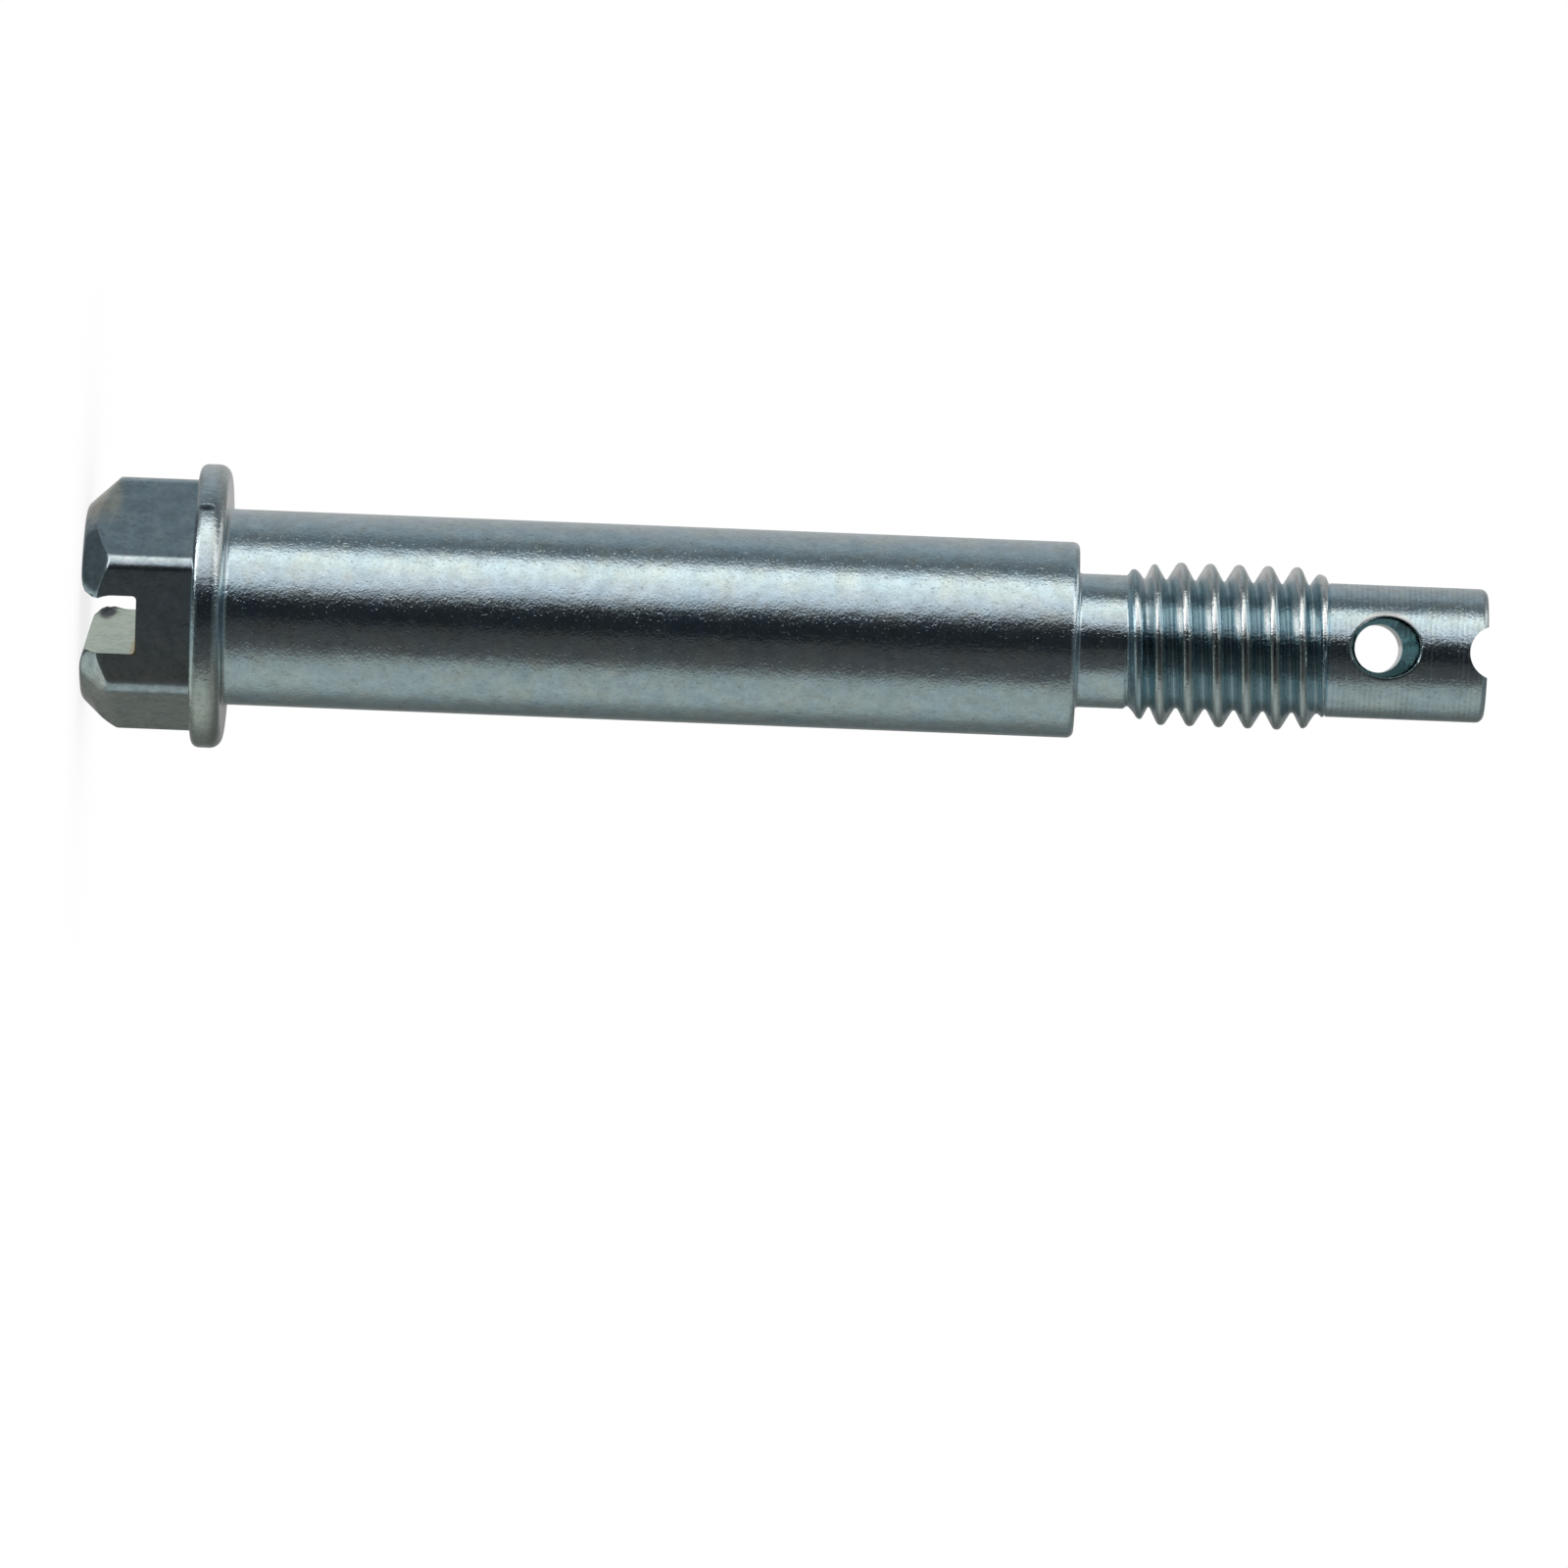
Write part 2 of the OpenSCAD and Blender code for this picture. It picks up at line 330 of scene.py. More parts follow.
outline += [(SHANK_R - SHANK_EDGE - FINE_GAP, NECK_Z), (NECK_R + NECK_ROOT + FINE_GAP, NECK_Z)]
outline += arc((NECK_R + NECK_ROOT, NECK_Z + NECK_ROOT), NECK_ROOT, 270, 180, ROUND_STEPS)
for groove_z in GROOVES_Z:
    outline += [(NECK_R, groove_z - 2 * GROOVE_HALF), (NECK_R, groove_z - GROOVE_HALF)]
    outline.append((NECK_R - GROOVE_DEPTH, groove_z))
    outline += [(NECK_R, groove_z + GROOVE_HALF), (NECK_R, groove_z + 2 * GROOVE_HALF)]
outline += [(NECK_R, THREAD_Z - NECK_GAP), (NECK_R, THREAD_Z)]
print("rows along the flange, shank and neck:", len(outline))

# %% The outline turned round the axis
TURN_COLUMNS = 144
turn = np.arange(TURN_COLUMNS) * 2 * math.pi / TURN_COLUMNS
lay([turned(r, turn, z) for r, z in outline], ring=True)
join_rings(hexagon_foot, turned(outline[0][0], turn, outline[0][1]))
print("columns round the turned part:", TURN_COLUMNS)

# %% [markdown]
# ## The thread
# The thread is right-handed, 7.94 mm over its crests with a pitch of 1.411 mm. Its rows climb with the
# helix, so each row stays on one line of the thread: a crest stays a crest all the way round. Rows that
# would run past either end are held at that end, which lets the thread fade in at the neck and out at the
# pilot end, as a thread does where the die starts and stops.

# %% The thread's section
THREAD_R, PITCH, CREST_ROUND, ROOT_ROUND = 3.97, 1.411, 0.26, 0.115
FLANK_ANGLE = math.radians(60)


def thread_radius(across):
    """Radius of the full thread at a distance along the axis from the nearest crest."""
    across = np.abs((across + PITCH / 2) % PITCH - PITCH / 2)
    flank = THREAD_R + CREST_ROUND - math.tan(FLANK_ANGLE) * across
    crest = THREAD_R - CREST_ROUND + np.sqrt(np.maximum(0, CREST_ROUND**2 - across**2))
    root_r = THREAD_R + CREST_ROUND - math.tan(FLANK_ANGLE) * PITCH / 2 + ROOT_ROUND
    root = root_r + ROOT_ROUND - np.sqrt(np.maximum(0, ROOT_ROUND**2 - (PITCH / 2 - across) ** 2))
    round_reach = math.sin(FLANK_ANGLE)
    shape = np.where(across < CREST_ROUND * round_reach, crest, flank)
    return np.where(PITCH / 2 - across < ROOT_ROUND * round_reach, root, shape)


def ease(t):
    """A share that starts and ends gently."""
    t = np.clip(t, 0, 1)
    return t * t * (3 - 2 * t)


print("radius of a crest and of a root, mm:", thread_radius(0.0).round(3), thread_radius(PITCH / 2).round(3))

# %% The thread's rows, which shift, grow and fade at its two ends
CREST_AT_X = 55.31
START_SHIFT, START_Z, START_LONG = 0.42, 51.1, 1.1
END_SHIFT, END_Z, END_LONG = 0.2, 58.9, 1.2
FIRST_CREST_R, CREST_GROWTH = 3.48, 0.27
LAST_CREST_R, CREST_FADE = 3.5, 0.35
NECK_BLEND, PILOT_BLEND = 0.28, 0.2
ROWS_A_PITCH = 28
END_R = 3.2
row_count = math.ceil((PILOT_Z - THREAD_Z + PITCH) / PITCH * ROWS_A_PITCH) + 1
along = THREAD_Z - PITCH + np.arange(row_count) * PITCH / ROWS_A_PITCH
climb = PITCH * turn / (2 * math.pi)
z_thread = np.clip(along[:, None] + climb[None, :], THREAD_Z, PILOT_Z)
run_in = START_SHIFT * (1 - ease((z_thread - START_Z) / START_LONG))
run_out = END_SHIFT * ease((z_thread - END_Z) / END_LONG)
full = thread_radius(z_thread - climb[None, :] - CREST_AT_X - run_in + run_out)
growing = FIRST_CREST_R + CREST_GROWTH * (z_thread - THREAD_Z)
fading = LAST_CREST_R + CREST_FADE * (PILOT_Z - z_thread)
crest_r = np.minimum(THREAD_R, np.minimum(growing, fading))
root_r = full.min()
skin_r = root_r + (full - root_r) * (crest_r - root_r) / (THREAD_R - root_r)
skin_r = NECK_R + (skin_r - NECK_R) * ease((z_thread - THREAD_Z) / NECK_BLEND)
skin_r = END_R + (skin_r - END_R) * ease((PILOT_Z - z_thread) / PILOT_BLEND)
thread_grid = turned(skin_r, turn[None, :] + 0 * z_thread, z_thread)
lay(thread_grid)
seam = np.stack([thread_grid[:-ROWS_A_PITCH, -1], thread_grid[ROWS_A_PITCH:, 0]], axis=1)
lay(seam)
print("thread rows:", row_count, "turns:", round((PILOT_Z - THREAD_Z) / PITCH, 2))

# %% [markdown]
# ## The pilot end
# The plain tip guides the thread into its hole. It has a cross hole, countersunk a little off centre on
# one side, and a half-round notch across its end face. Its columns are denser where the notch meets the
# round side, so that the bite is a smooth curve.

# %% Columns round the pilot end
PILOT_R, PILOT_EDGE = 3.25, 0.4
NOTCH_R, NOTCH_DEPTH, HOLE_X = 1.3, 0.89, -0.15
FACE_COLUMNS, BITE_COLUMNS, NOTCH_EDGE_COLUMNS = 14, 17, 6
notch_z = TIP_Z + NOTCH_R - NOTCH_DEPTH
face_r = PILOT_R - PILOT_EDGE


def notch_half(z):
    """Half the width of the notch at a height."""
    return math.sqrt(NOTCH_R**2 - (notch_z - z) ** 2)


def notch_columns(side):
    """Angles from the front at which the notch leaves the end face, and then the round side."""
    on_face = math.asin((HOLE_X + side * notch_half(TIP_Z)) / face_r)
    on_side = math.asin((HOLE_X + side * notch_half(TIP_Z - PILOT_EDGE)) / PILOT_R)
    return on_face, on_side


left_face, left_side = notch_columns(-1)
right_face, right_side = notch_columns(1)
bite = np.linspace(-1, 1, BITE_COLUMNS)[1:-1]
bite_reach = notch_half(TIP_Z - PILOT_EDGE) / NOTCH_R
bite_x = HOLE_X + NOTCH_R * np.sin(bite * math.asin(bite_reach))
front = list(np.linspace(-math.pi / 2, left_face, FACE_COLUMNS))
front += list(np.linspace(left_face, left_side, NOTCH_EDGE_COLUMNS)[1:])
front += list(np.arcsin(bite_x / PILOT_R))
front += list(np.linspace(right_side, right_face, NOTCH_EDGE_COLUMNS)[:-1])
front += list(np.linspace(right_face, math.pi / 2, FACE_COLUMNS))
front = np.array(front)
pilot_angles = np.concatenate([front - math.pi / 2, math.pi / 2 - front[-2:0:-1]])
print("columns round the pilot end:", len(pilot_angles))


# %% The path of a column up the round side and in along the end face
HALVINGS = 50


def side_height(x):
    """Height at which the notch cuts a line of the round side at x, or None where it misses the side."""
    if abs(x - HOLE_X) >= NOTCH_R:
        return None
    z = notch_z - math.sqrt(NOTCH_R**2 - (x - HOLE_X) ** 2)
    return z if z <= TIP_Z - PILOT_EDGE + TINY else None


def tip_path(angle, start, rows_up=9, rows_round=7, rows_face=6):
    """Points (r, z) up the side from a start height, over the edge and along the end face, to the notch."""
    sine = math.cos(angle)
    cut = side_height(PILOT_R * sine)
    if cut is not None:
        rows = [(PILOT_R, z) for z in np.linspace(start, cut, rows_up)]
        return rows + [rows[-1]] * (rows_round + rows_face)
    rows = [(PILOT_R, z) for z in np.linspace(start, TIP_Z - PILOT_EDGE, rows_up)]

    def on_edge(t):
        return face_r + PILOT_EDGE * math.cos(t), TIP_Z - PILOT_EDGE + PILOT_EDGE * math.sin(t)

    def in_notch(t):
        r, z = on_edge(t)
        return (r * sine - HOLE_X) ** 2 + (z - notch_z) ** 2 < NOTCH_R**2 - TINY

    last = math.pi / 2
    if in_notch(last):
        low = 0.0
        for _ in range(HALVINGS):
            middle = (low + last) / 2
            low, last = (low, middle) if in_notch(middle) else (middle, last)
    rows += [on_edge(t) for t in np.linspace(0, last, rows_round + 1)[1:]]
    if last < math.pi / 2:
        return rows + [rows[-1]] * rows_face
    side = 1 if sine > 0 else -1
    reach = (HOLE_X + side * notch_half(TIP_Z)) / sine
    return rows + [(r, TIP_Z) for r in np.linspace(face_r, min(face_r, reach), rows_face + 1)[1:]]


print("the notch cuts the middle of the round side at, mm:", round(side_height(HOLE_X), 2))

# %% The round side and the end face, up to the notch
WINDOW_LOW, WINDOW_HIGH, WINDOW_ROWS = 61.05, 65.3, 15
FOOT_STEPS = (0.03, 0.06, 0.3)
upper = np.array([[turned(r, a, z) for r, z in tip_path(a, WINDOW_HIGH)] for a in pilot_angles])
lay(np.swapaxes(upper, 0, 1), ring=True)
foot_rows = [PILOT_Z + step for step in FOOT_STEPS] + [WINDOW_LOW]
lay([turned(PILOT_R, pilot_angles, z) for z in foot_rows], ring=True)
in_order = np.sort(pilot_angles % (2 * math.pi))
join_rings(turned(END_R, turn, PILOT_Z), turned(PILOT_R, in_order, foot_rows[0]))
print("rows above the hole:", upper.shape[1], "and below it:", len(foot_rows))

# %% The wall of the notch
notch_edge = upper[:, -1]
front_count = len(front)
count = len(pilot_angles)
first, last = FACE_COLUMNS - 1, front_count - FACE_COLUMNS


def on_front(i):
    """Point of the notch's edge on a column of the front half."""
    return notch_edge[i]


def on_back(i):
    """Point of the notch's edge on the column behind a column of the front half."""
    return notch_edge[-i % count]


def along_chord(chord):
    """How far each point of a chord lies along it, as a share."""
    return (chord[:, 1] - chord[0, 1]) / (chord[-1, 1] - chord[0, 1])


left_chord = [on_front(i) for i in range(first, -1, -1)] + [on_back(i) for i in range(1, first + 1)]
right_chord = [on_front(i) for i in range(last, front_count)]
right_chord += [on_back(i) for i in range(front_count - 2, last - 1, -1)]
left_chord, right_chord = np.array(left_chord), np.array(right_chord)
wall = []
for i in range(first, last + 1):
    t = (i - first) / (last - first)
    share = (1 - t) * along_chord(left_chord) + t * along_chord(right_chord)
    start, end = on_front(i), on_back(i)
    wall.append(start[None, :] + share[:, None] * (end - start)[None, :])
wall[0], wall[-1] = left_chord, right_chord
lay(wall)
print("notch wall:", len(wall), "by", len(wall[0]), "points")

# %% [markdown]
# ## The cross hole
# The drilled hole goes right through, and a 60 degree countersink opens its front mouth, set slightly
# towards the tip. Each mouth is a window in the round side: rings of points run from the window's frame
# in to the rim, over a tiny worn edge, down the cone and along the bore to the other side.

# %% The frame of each window
HOLE_R, HOLE_Z, SINK_OFF, SINK_R = 1.175, 62.85, 0.33, 1.74
SINK_ASIDE = 0.1
SINK_X = HOLE_X - SINK_ASIDE
WINDOW_MARGIN = 2
sink_z = HOLE_Z + SINK_OFF
window_left, window_right = first - WINDOW_MARGIN, last + WINDOW_MARGIN
window_turns = front[window_left : window_right + 1]
window_heights = np.linspace(WINDOW_LOW, WINDOW_HIGH, WINDOW_ROWS)
frame_loop = [(t, WINDOW_LOW) for t in window_turns]
frame_loop += [(window_turns[-1], z) for z in window_heights[1:]]
frame_loop += [(t, WINDOW_HIGH) for t in window_turns[-2::-1]]
frame_loop += [(window_turns[0], z) for z in window_heights[-2:0:-1]]
frame_loop = np.array(frame_loop)
frame_flat = np.stack([PILOT_R * frame_loop[:, 0], frame_loop[:, 1]], axis=1)
around = np.arctan2(frame_flat[:, 1] - sink_z, frame_flat[:, 0] - SINK_X)
print("points round a window's frame:", len(frame_loop))

# %% The countersink and its rim
SINK_SLOPE = 1 / math.tan(math.radians(30))
RIM_WEAR = 0.07
sink_apex = PILOT_R - SINK_R * SINK_SLOPE


def on_side(flat, face):
    """Points of the round side from a flat pattern (round the side, along it), on the front or the back."""
    x, y = PILOT_R * np.sin(flat[:, 0] / PILOT_R), PILOT_R * np.cos(flat[:, 0] / PILOT_R)
    return np.stack([x, face * y, flat[:, 1]], axis=1)


def flat_pattern(x, z):
    """Places of points of the round side in its flat pattern."""
    return np.stack([PILOT_R * np.arcsin(x / PILOT_R), z], axis=1)


def on_cone(reach, direction):
    """Points of the countersink at a distance from its axis."""
    y = -(sink_apex + reach * SINK_SLOPE)
    return np.stack([SINK_X + reach * np.cos(direction), y, sink_z + reach * np.sin(direction)], axis=1)


cosine = np.cos(around)
b = SINK_X * cosine + sink_apex * SINK_SLOPE
a2 = cosine**2 + SINK_SLOPE**2
rim_reach = (-b + np.sqrt(b**2 - a2 * (SINK_X**2 + sink_apex**2 - PILOT_R**2))) / a2
rim = on_cone(rim_reach, around)
print("countersink rim, mm:", np.round(np.ptp(rim, axis=0), 2))


# %% The mouths and the bore
WEAR_SHARES = (0.22, 0.56, 0.22)
WINDOW_SHARES = (0, 0.3, 0.55, 0.75, 0.9, 1)
CONE_SHARES = (0.2, 0.4, 0.6, 0.8, 0.95, 1)
BORE_ROWS = 12


def worn_edge(outer, corner, inner):
    """Three rings that round an edge off: its start, a point near the corner, and its end."""
    near_corner = sum(share * ring for share, ring in zip(WEAR_SHARES, (outer, corner, inner)))
    return [outer, near_corner, inner]


def window_rings(rim_flat, face):
    """Rings from the frame of a window in to the start of the worn edge round a rim."""
    away = frame_flat - rim_flat
    edge = rim_flat + RIM_WEAR * away / np.linalg.norm(away, axis=1)[:, None]
    return [on_side(frame_flat + (edge - frame_flat) * t, face) for t in WINDOW_SHARES]


bore_x, bore_z = HOLE_X + HOLE_R * np.cos(around), HOLE_Z + HOLE_R * np.sin(around)
bore_off = np.hypot(bore_x - SINK_X, bore_z - sink_z)
bore_start = np.stack([bore_x, -(sink_apex + bore_off * SINK_SLOPE), bore_z], axis=1)
front_rings = window_rings(flat_pattern(rim[:, 0], rim[:, 2]), -1)
cone_start = on_cone(rim_reach - RIM_WEAR, around)
rings = front_rings[:-1] + worn_edge(front_rings[-1], rim, cone_start)
for t in CONE_SHARES:
    spot = cone_start[:, [0, 2]] * (1 - t) + bore_start[:, [0, 2]] * t
    reach = np.hypot(spot[:, 0] - SINK_X, spot[:, 1] - sink_z)
    rings.append(np.stack([spot[:, 0], -(sink_apex + reach * SINK_SLOPE), spot[:, 1]], axis=1))
back_rim = np.stack([bore_x, np.sqrt(PILOT_R**2 - bore_x**2), bore_z], axis=1)
bore_end = back_rim - np.array([0, RIM_WEAR, 0])
rings += [bore_start + (bore_end - bore_start) * t for t in np.linspace(0, 1, BORE_ROWS)[1:-1]]
back_rings = window_rings(flat_pattern(bore_x, bore_z), 1)[::-1]
rings += worn_edge(bore_end, back_rim, back_rings[0]) + back_rings[1:]
lay(rings, ring=True)
print("rings through the hole:", len(rings), "points each:", len(around))

# %% The round side beside the two windows
right_of_windows = pilot_angles[window_right : count - window_right + 1]
left_of_windows = np.concatenate([pilot_angles[count - window_left :], pilot_angles[: window_left + 1]])
for beside in (right_of_windows, left_of_windows):
    lay([turned(PILOT_R, beside, z) for z in window_heights])
print("grids laid:", len(grids), "strips:", len(strips))

# %% [markdown]
# ## Sewing the skin
# All grids become one mesh, and points that lie on the same spot become one. The skin has to be closed, so
# the cell counts the open edges. Faces are shaded smooth, and only the crisp edges of the slot, the hole
# and the shoulders stay sharp.


# %% Faces of a grid and of a strip
def grid_faces(rows, columns, ring, base):
    """Four-sided faces of a grid of points, whose first point has the number base."""
    faces = []
    for i in range(rows - 1):
        here, above = base + i * columns, base + (i + 1) * columns
        for j in range(columns if ring else columns - 1):
            k = (j + 1) % columns
            faces.append((here + j, here + k, above + k, above + j))
    return faces


def ring_faces(inner, outer, base):
    """Triangles between two rings, advancing on whichever ring lies behind."""
    turn_in = np.arctan2(inner[:, 1], inner[:, 0]) % (2 * math.pi)
    turn_out = np.arctan2(outer[:, 1], outer[:, 0]) % (2 * math.pi)
    order_in, order_out = list(np.argsort(turn_in)), list(np.argsort(turn_out))
    n, m = len(order_in), len(order_out)
    faces, i, j = [], 0, 0
    while i < n or j < m:
        next_in = turn_in[order_in[i]] if i < n else math.inf
        next_out = turn_out[order_out[j]] if j < m else math.inf
        here_in, here_out = base + order_in[i - 1], base + n + order_out[j - 1]
        if next_in <= next_out:
            faces.append((here_in, here_out, base + order_in[i]))
            i += 1
        else:
            faces.append((here_in, here_out, base + n + order_out[j]))
            j += 1
    return faces


points, faces = [], []
for grid, ring in grids:
    faces += grid_faces(grid.shape[0], grid.shape[1], ring, len(points))
    points += grid.reshape(-1, 3).tolist()
for inner, outer in strips:
    faces += ring_faces(inner, outer, len(points))
    points += inner.tolist() + outer.tolist()
print("before sewing:", len(points), "points,", len(faces), "faces")

# %% One closed mesh from all the grids
SAME_SPOT = 4e-7
SHARP_ANGLE = math.radians(35)
skin = bpy.data.meshes.new("pad_pin_skin")
skin.from_pydata((np.array(points) * MM).tolist(), [], faces)
sewing = bmesh.new()
sewing.from_mesh(skin)
bmesh.ops.remove_doubles(sewing, verts=sewing.verts, dist=SAME_SPOT)
bmesh.ops.dissolve_degenerate(sewing, edges=sewing.edges, dist=SAME_SPOT)
bmesh.ops.recalc_face_normals(sewing, faces=sewing.faces)
open_edges = sum(len(e.link_faces) != 2 for e in sewing.edges)
print("skin:", len(sewing.verts), "points,", len(sewing.faces), "faces, open edges:", open_edges)
print("volume, mm3:", round(sewing.calc_volume() / MM**3, 1))
sewing.to_mesh(skin)
sewing.free()
skin.shade_smooth()
skin.set_sharp_from_angle(angle=SHARP_ANGLE)

# %% The dressed pin in the frame
pin = bpy.data.objects.new("pad_pin_dressed", skin)
bpy.context.scene.collection.objects.link(pin)
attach(pin, "root")
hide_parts("pad_pin")
print("dressed piece:", pin.name)

# %% [markdown]
# ## The zinc plating
# Bright zinc plate is a metal with a faint blue cast. Its surface isn't a mirror: fine grain breaks up
# every reflection, so the shader is a metal with a low roughness and a small bump from noise. The grain
# could be painted, but noise in the frame's own coordinates keeps its size in millimetres everywhere.

# %% The plating's shader, and helpers for its nodes
plating = bpy.data.materials.new("bright_zinc_plate")
plating.use_nodes = True
nodes, links = plating.node_tree.nodes, plating.node_tree.links
shader = nodes["Principled BSDF"]
shader.inputs["Metallic"].default_value = 1.0
place = nodes.new("ShaderNodeTexCoord")
along_pin = nodes.new("ShaderNodeSeparateXYZ")
links.new(place.outputs["Object"], along_pin.inputs["Vector"])
along_z, across_x, across_y = (along_pin.outputs[axis] for axis in "ZXY")


def plate_noise(grain_mm, detail, roughness=0.5, stretch=1.0, across=1.0):
    """Noise whose largest grains are about grain_mm wide. A stretch below 1 draws them out along the pin,
    and across below 1 draws them out round it."""
    node = nodes.new("ShaderNodeTexNoise")
    node.inputs["Scale"].default_value = 1 / (grain_mm * MM)
    node.inputs["Detail"].default_value = detail
    node.inputs["Roughness"].default_value = roughness
    drawn = nodes.new("ShaderNodeMapping")
    drawn.inputs["Scale"].default_value = (across, across, stretch)
    links.new(place.outputs["Object"], drawn.inputs["Vector"])
    links.new(drawn.outputs["Vector"], node.inputs["Vector"])
    return node.outputs["Fac"]


def spread(source, low, high, low_value=0.0, high_value=1.0):
    """A value between two limits, spread over another range and held at its ends."""
    node = nodes.new("ShaderNodeMapRange")
    node.inputs["From Min"].default_value = low
    node.inputs["From Max"].default_value = high
    node.inputs["To Min"].default_value = low_value
    node.inputs["To Max"].default_value = high_value
    links.new(source, node.inputs["Value"])
    return node.outputs["Result"]


def combined(operation, *sources):
    """Values joined by a math operation, two at a time. Each is a socket or a plain number."""
    total = sources[0]
    for source in sources[1:]:
        node = nodes.new("ShaderNodeMath")
        node.operation = operation
        for socket, value in zip(node.inputs, (total, source)):
            if isinstance(value, float):
                socket.default_value = value
            else:
                links.new(value, socket)
        total = node.outputs[0]
    return total


def altered(operation, source):
    """A value after a math operation that takes one value, such as a sine."""
    node = nodes.new("ShaderNodeMath")
    node.operation = operation
    links.new(source, node.inputs[0])
    return node.outputs[0]


def tinted(share, first, second):
    """A colour between two, by a share. Either may be a colour or a socket."""
    node = nodes.new("ShaderNodeMix")
    node.data_type = "RGBA"
    for name, colour in (("A", first), ("B", second)):
        socket = next(i for i in node.inputs if i.name == name and i.type == "RGBA")
        if isinstance(colour, tuple):
            socket.default_value = (*colour, 1.0)
        else:
            links.new(colour, socket)
    links.new(share, node.inputs["Factor"])
    return next(o for o in node.outputs if o.type == "RGBA")


print("plating, nodes so far:", len(nodes))


# %% Helpers that place a mask in millimetres
def sum_of(*sources):
    """The sum of values."""
    return combined("ADD", *sources)


def product(*sources):
    """The product of values. Of masks, it is where they overlap."""
    return combined("MULTIPLY", *sources)


def off_from(source, place_mm):
    """How far a coordinate lies from a place."""
    return sum_of(source, -place_mm * MM)


def distance2(*offsets):
    """Square of a distance, from its offsets along two or three axes."""
    return sum_of(*[product(offset, offset) for offset in offsets])


def fade(source, start_mm, full_mm, full=1.0):
    """A mask that grows from one place to another along an axis."""
    return spread(source, start_mm * MM, full_mm * MM, 0.0, full)


def within(square, start_mm, full_mm, full=1.0):
    """A mask that grows from one distance to another, by the square of the distance."""
    return spread(square, (start_mm * MM) ** 2, (full_mm * MM) ** 2, 0.0, full)


def marks(grain_mm, start, full, detail, roughness=0.5):
    """A mask of scattered marks, from the part of a noise between two of its values."""
    return spread(plate_noise(grain_mm, detail, roughness), start, full)


def wave(turns):
    """A sine between 0 and 1 of a count of turns."""
    return spread(altered("SINE", product(turns, 2 * math.pi)), -1.0, 1.0)


off_axis2 = distance2(across_x, across_y)
print("distance from the axis, nodes so far:", len(nodes))

# %% [markdown]
# ## Grain, stains, tool marks, painted light and painted shade
# Fine grain, dents and pits cover the plating, with clouds of a warmer and a bluer tint and a few brown
# spots. The lathe left rings on the pilot end. The forged head is duller and mottled, with a stained wall
# and root in its slot, and stains and a nick on its flange. Painted light lightens the lower side of the
# head, two parts of the chamfer and the top of the flange. Painted shade darkens the burr, the nick, the
# flange's seat rim above and below, and the upper part of the countersink. On the thread, the die left
# fine lines, painted shade darkens the crests in a band along the middle, and painted highlights and
# painted shade lie on the flanks and roots. Each of these is one mask, and the masks set the colour, the
# roughness and the bump together. Upper and lower are the sides towards -X and +X, as they lie in the
# picture.

# %% Grain, clouds, pits and the lathe's rings
RING_PITCH = 0.257
RINGS_START, RINGS_FULL = PILOT_Z + 0.05, PILOT_Z + 0.25
grain = plate_noise(0.13, 2.0, 0.6)
patches = plate_noise(0.4, 2.0, 0.6, stretch=0.6)
swell = plate_noise(1.1, 1.0)
pips = marks(0.11, 0.58, 0.78, detail=0.0)
dents = marks(0.15, 0.37, 0.24, detail=1.0)
shade_grain = marks(0.1, 0.3, 0.7, detail=2.0, roughness=0.6)
warm_cloud = marks(1.3, 0.45, 0.75, detail=3.0, roughness=0.65)
blue_cloud = marks(1.9, 0.45, 0.75, detail=3.0, roughness=0.65)
pits = marks(0.22, 0.58, 0.8, detail=2.0)
shade_cloud = marks(0.75, 0.35, 0.65, detail=3.0, roughness=0.7)
brown_spots = marks(0.55, 0.58, 0.74, detail=4.0, roughness=0.75)
ring_depth = spread(plate_noise(0.5, 1.0, across=0.04), 0.35, 0.6, 0.3, 1.0)
ring_turns = product(along_z, 1 / (RING_PITCH * MM))
tool_rings = product(wave(ring_turns), ring_depth, fade(along_z, RINGS_START, RINGS_FULL))
print("grain, clouds and rings, nodes so far:", len(nodes))

# %% The hexagon: mottling, painted light on its lower side and on two parts of its chamfer, and its long edges
HEAD_END_Z, HEX_END_Z = SHANK_Z + 0.2, FLANGE_Z - 0.1
LOWER_SIDE, UPPER_CHAMFER, LOWER_CHAMFER = (1.5, 4.5), (-3.6, -4.6), (3.4, 4.4)
CHAMFER_FOOT = (1.9, 1.5)
LONG_EDGES = (6.09, 6.15)
PALE_LIMITS, DIM_LIMITS = (0.5, 0.68), (0.5, 0.32)
on_head = fade(along_z, HEAD_END_Z, SHANK_Z)
below_flange = fade(along_z, FLANGE_Z, HEX_END_Z)
on_hex = product(on_head, below_flange)
mottle = product(on_head, marks(0.45, 0.3, 0.7, detail=3.0, roughness=0.7))
head_cloud = plate_noise(0.8, 3.0, 0.7)
pale_cloud, dim_cloud = (product(on_hex, spread(head_cloud, *ends)) for ends in (PALE_LIMITS, DIM_LIMITS))
# Painted light: the lower side of the head gets a lighter, olive colour.
lower_side_painted_light = product(on_head, fade(across_x, *LOWER_SIDE))
light_spots = product(lower_side_painted_light, on_hex, marks(0.7, 0.48, 0.66, detail=3.0, roughness=0.7))
on_chamfer = fade(along_z, *CHAMFER_FOOT)
# Painted light: the two lit parts of the chamfer, near the top and the bottom of the picture, get lighter
# tints.
upper_chamfer_painted_light = product(fade(across_x, *UPPER_CHAMFER), on_chamfer)
lower_chamfer_painted_light = product(fade(across_x, *LOWER_CHAMFER), on_chamfer)
hex_edges = product(within(off_axis2, *LONG_EDGES), below_flange)
print("hexagon masks, nodes so far:", len(nodes))
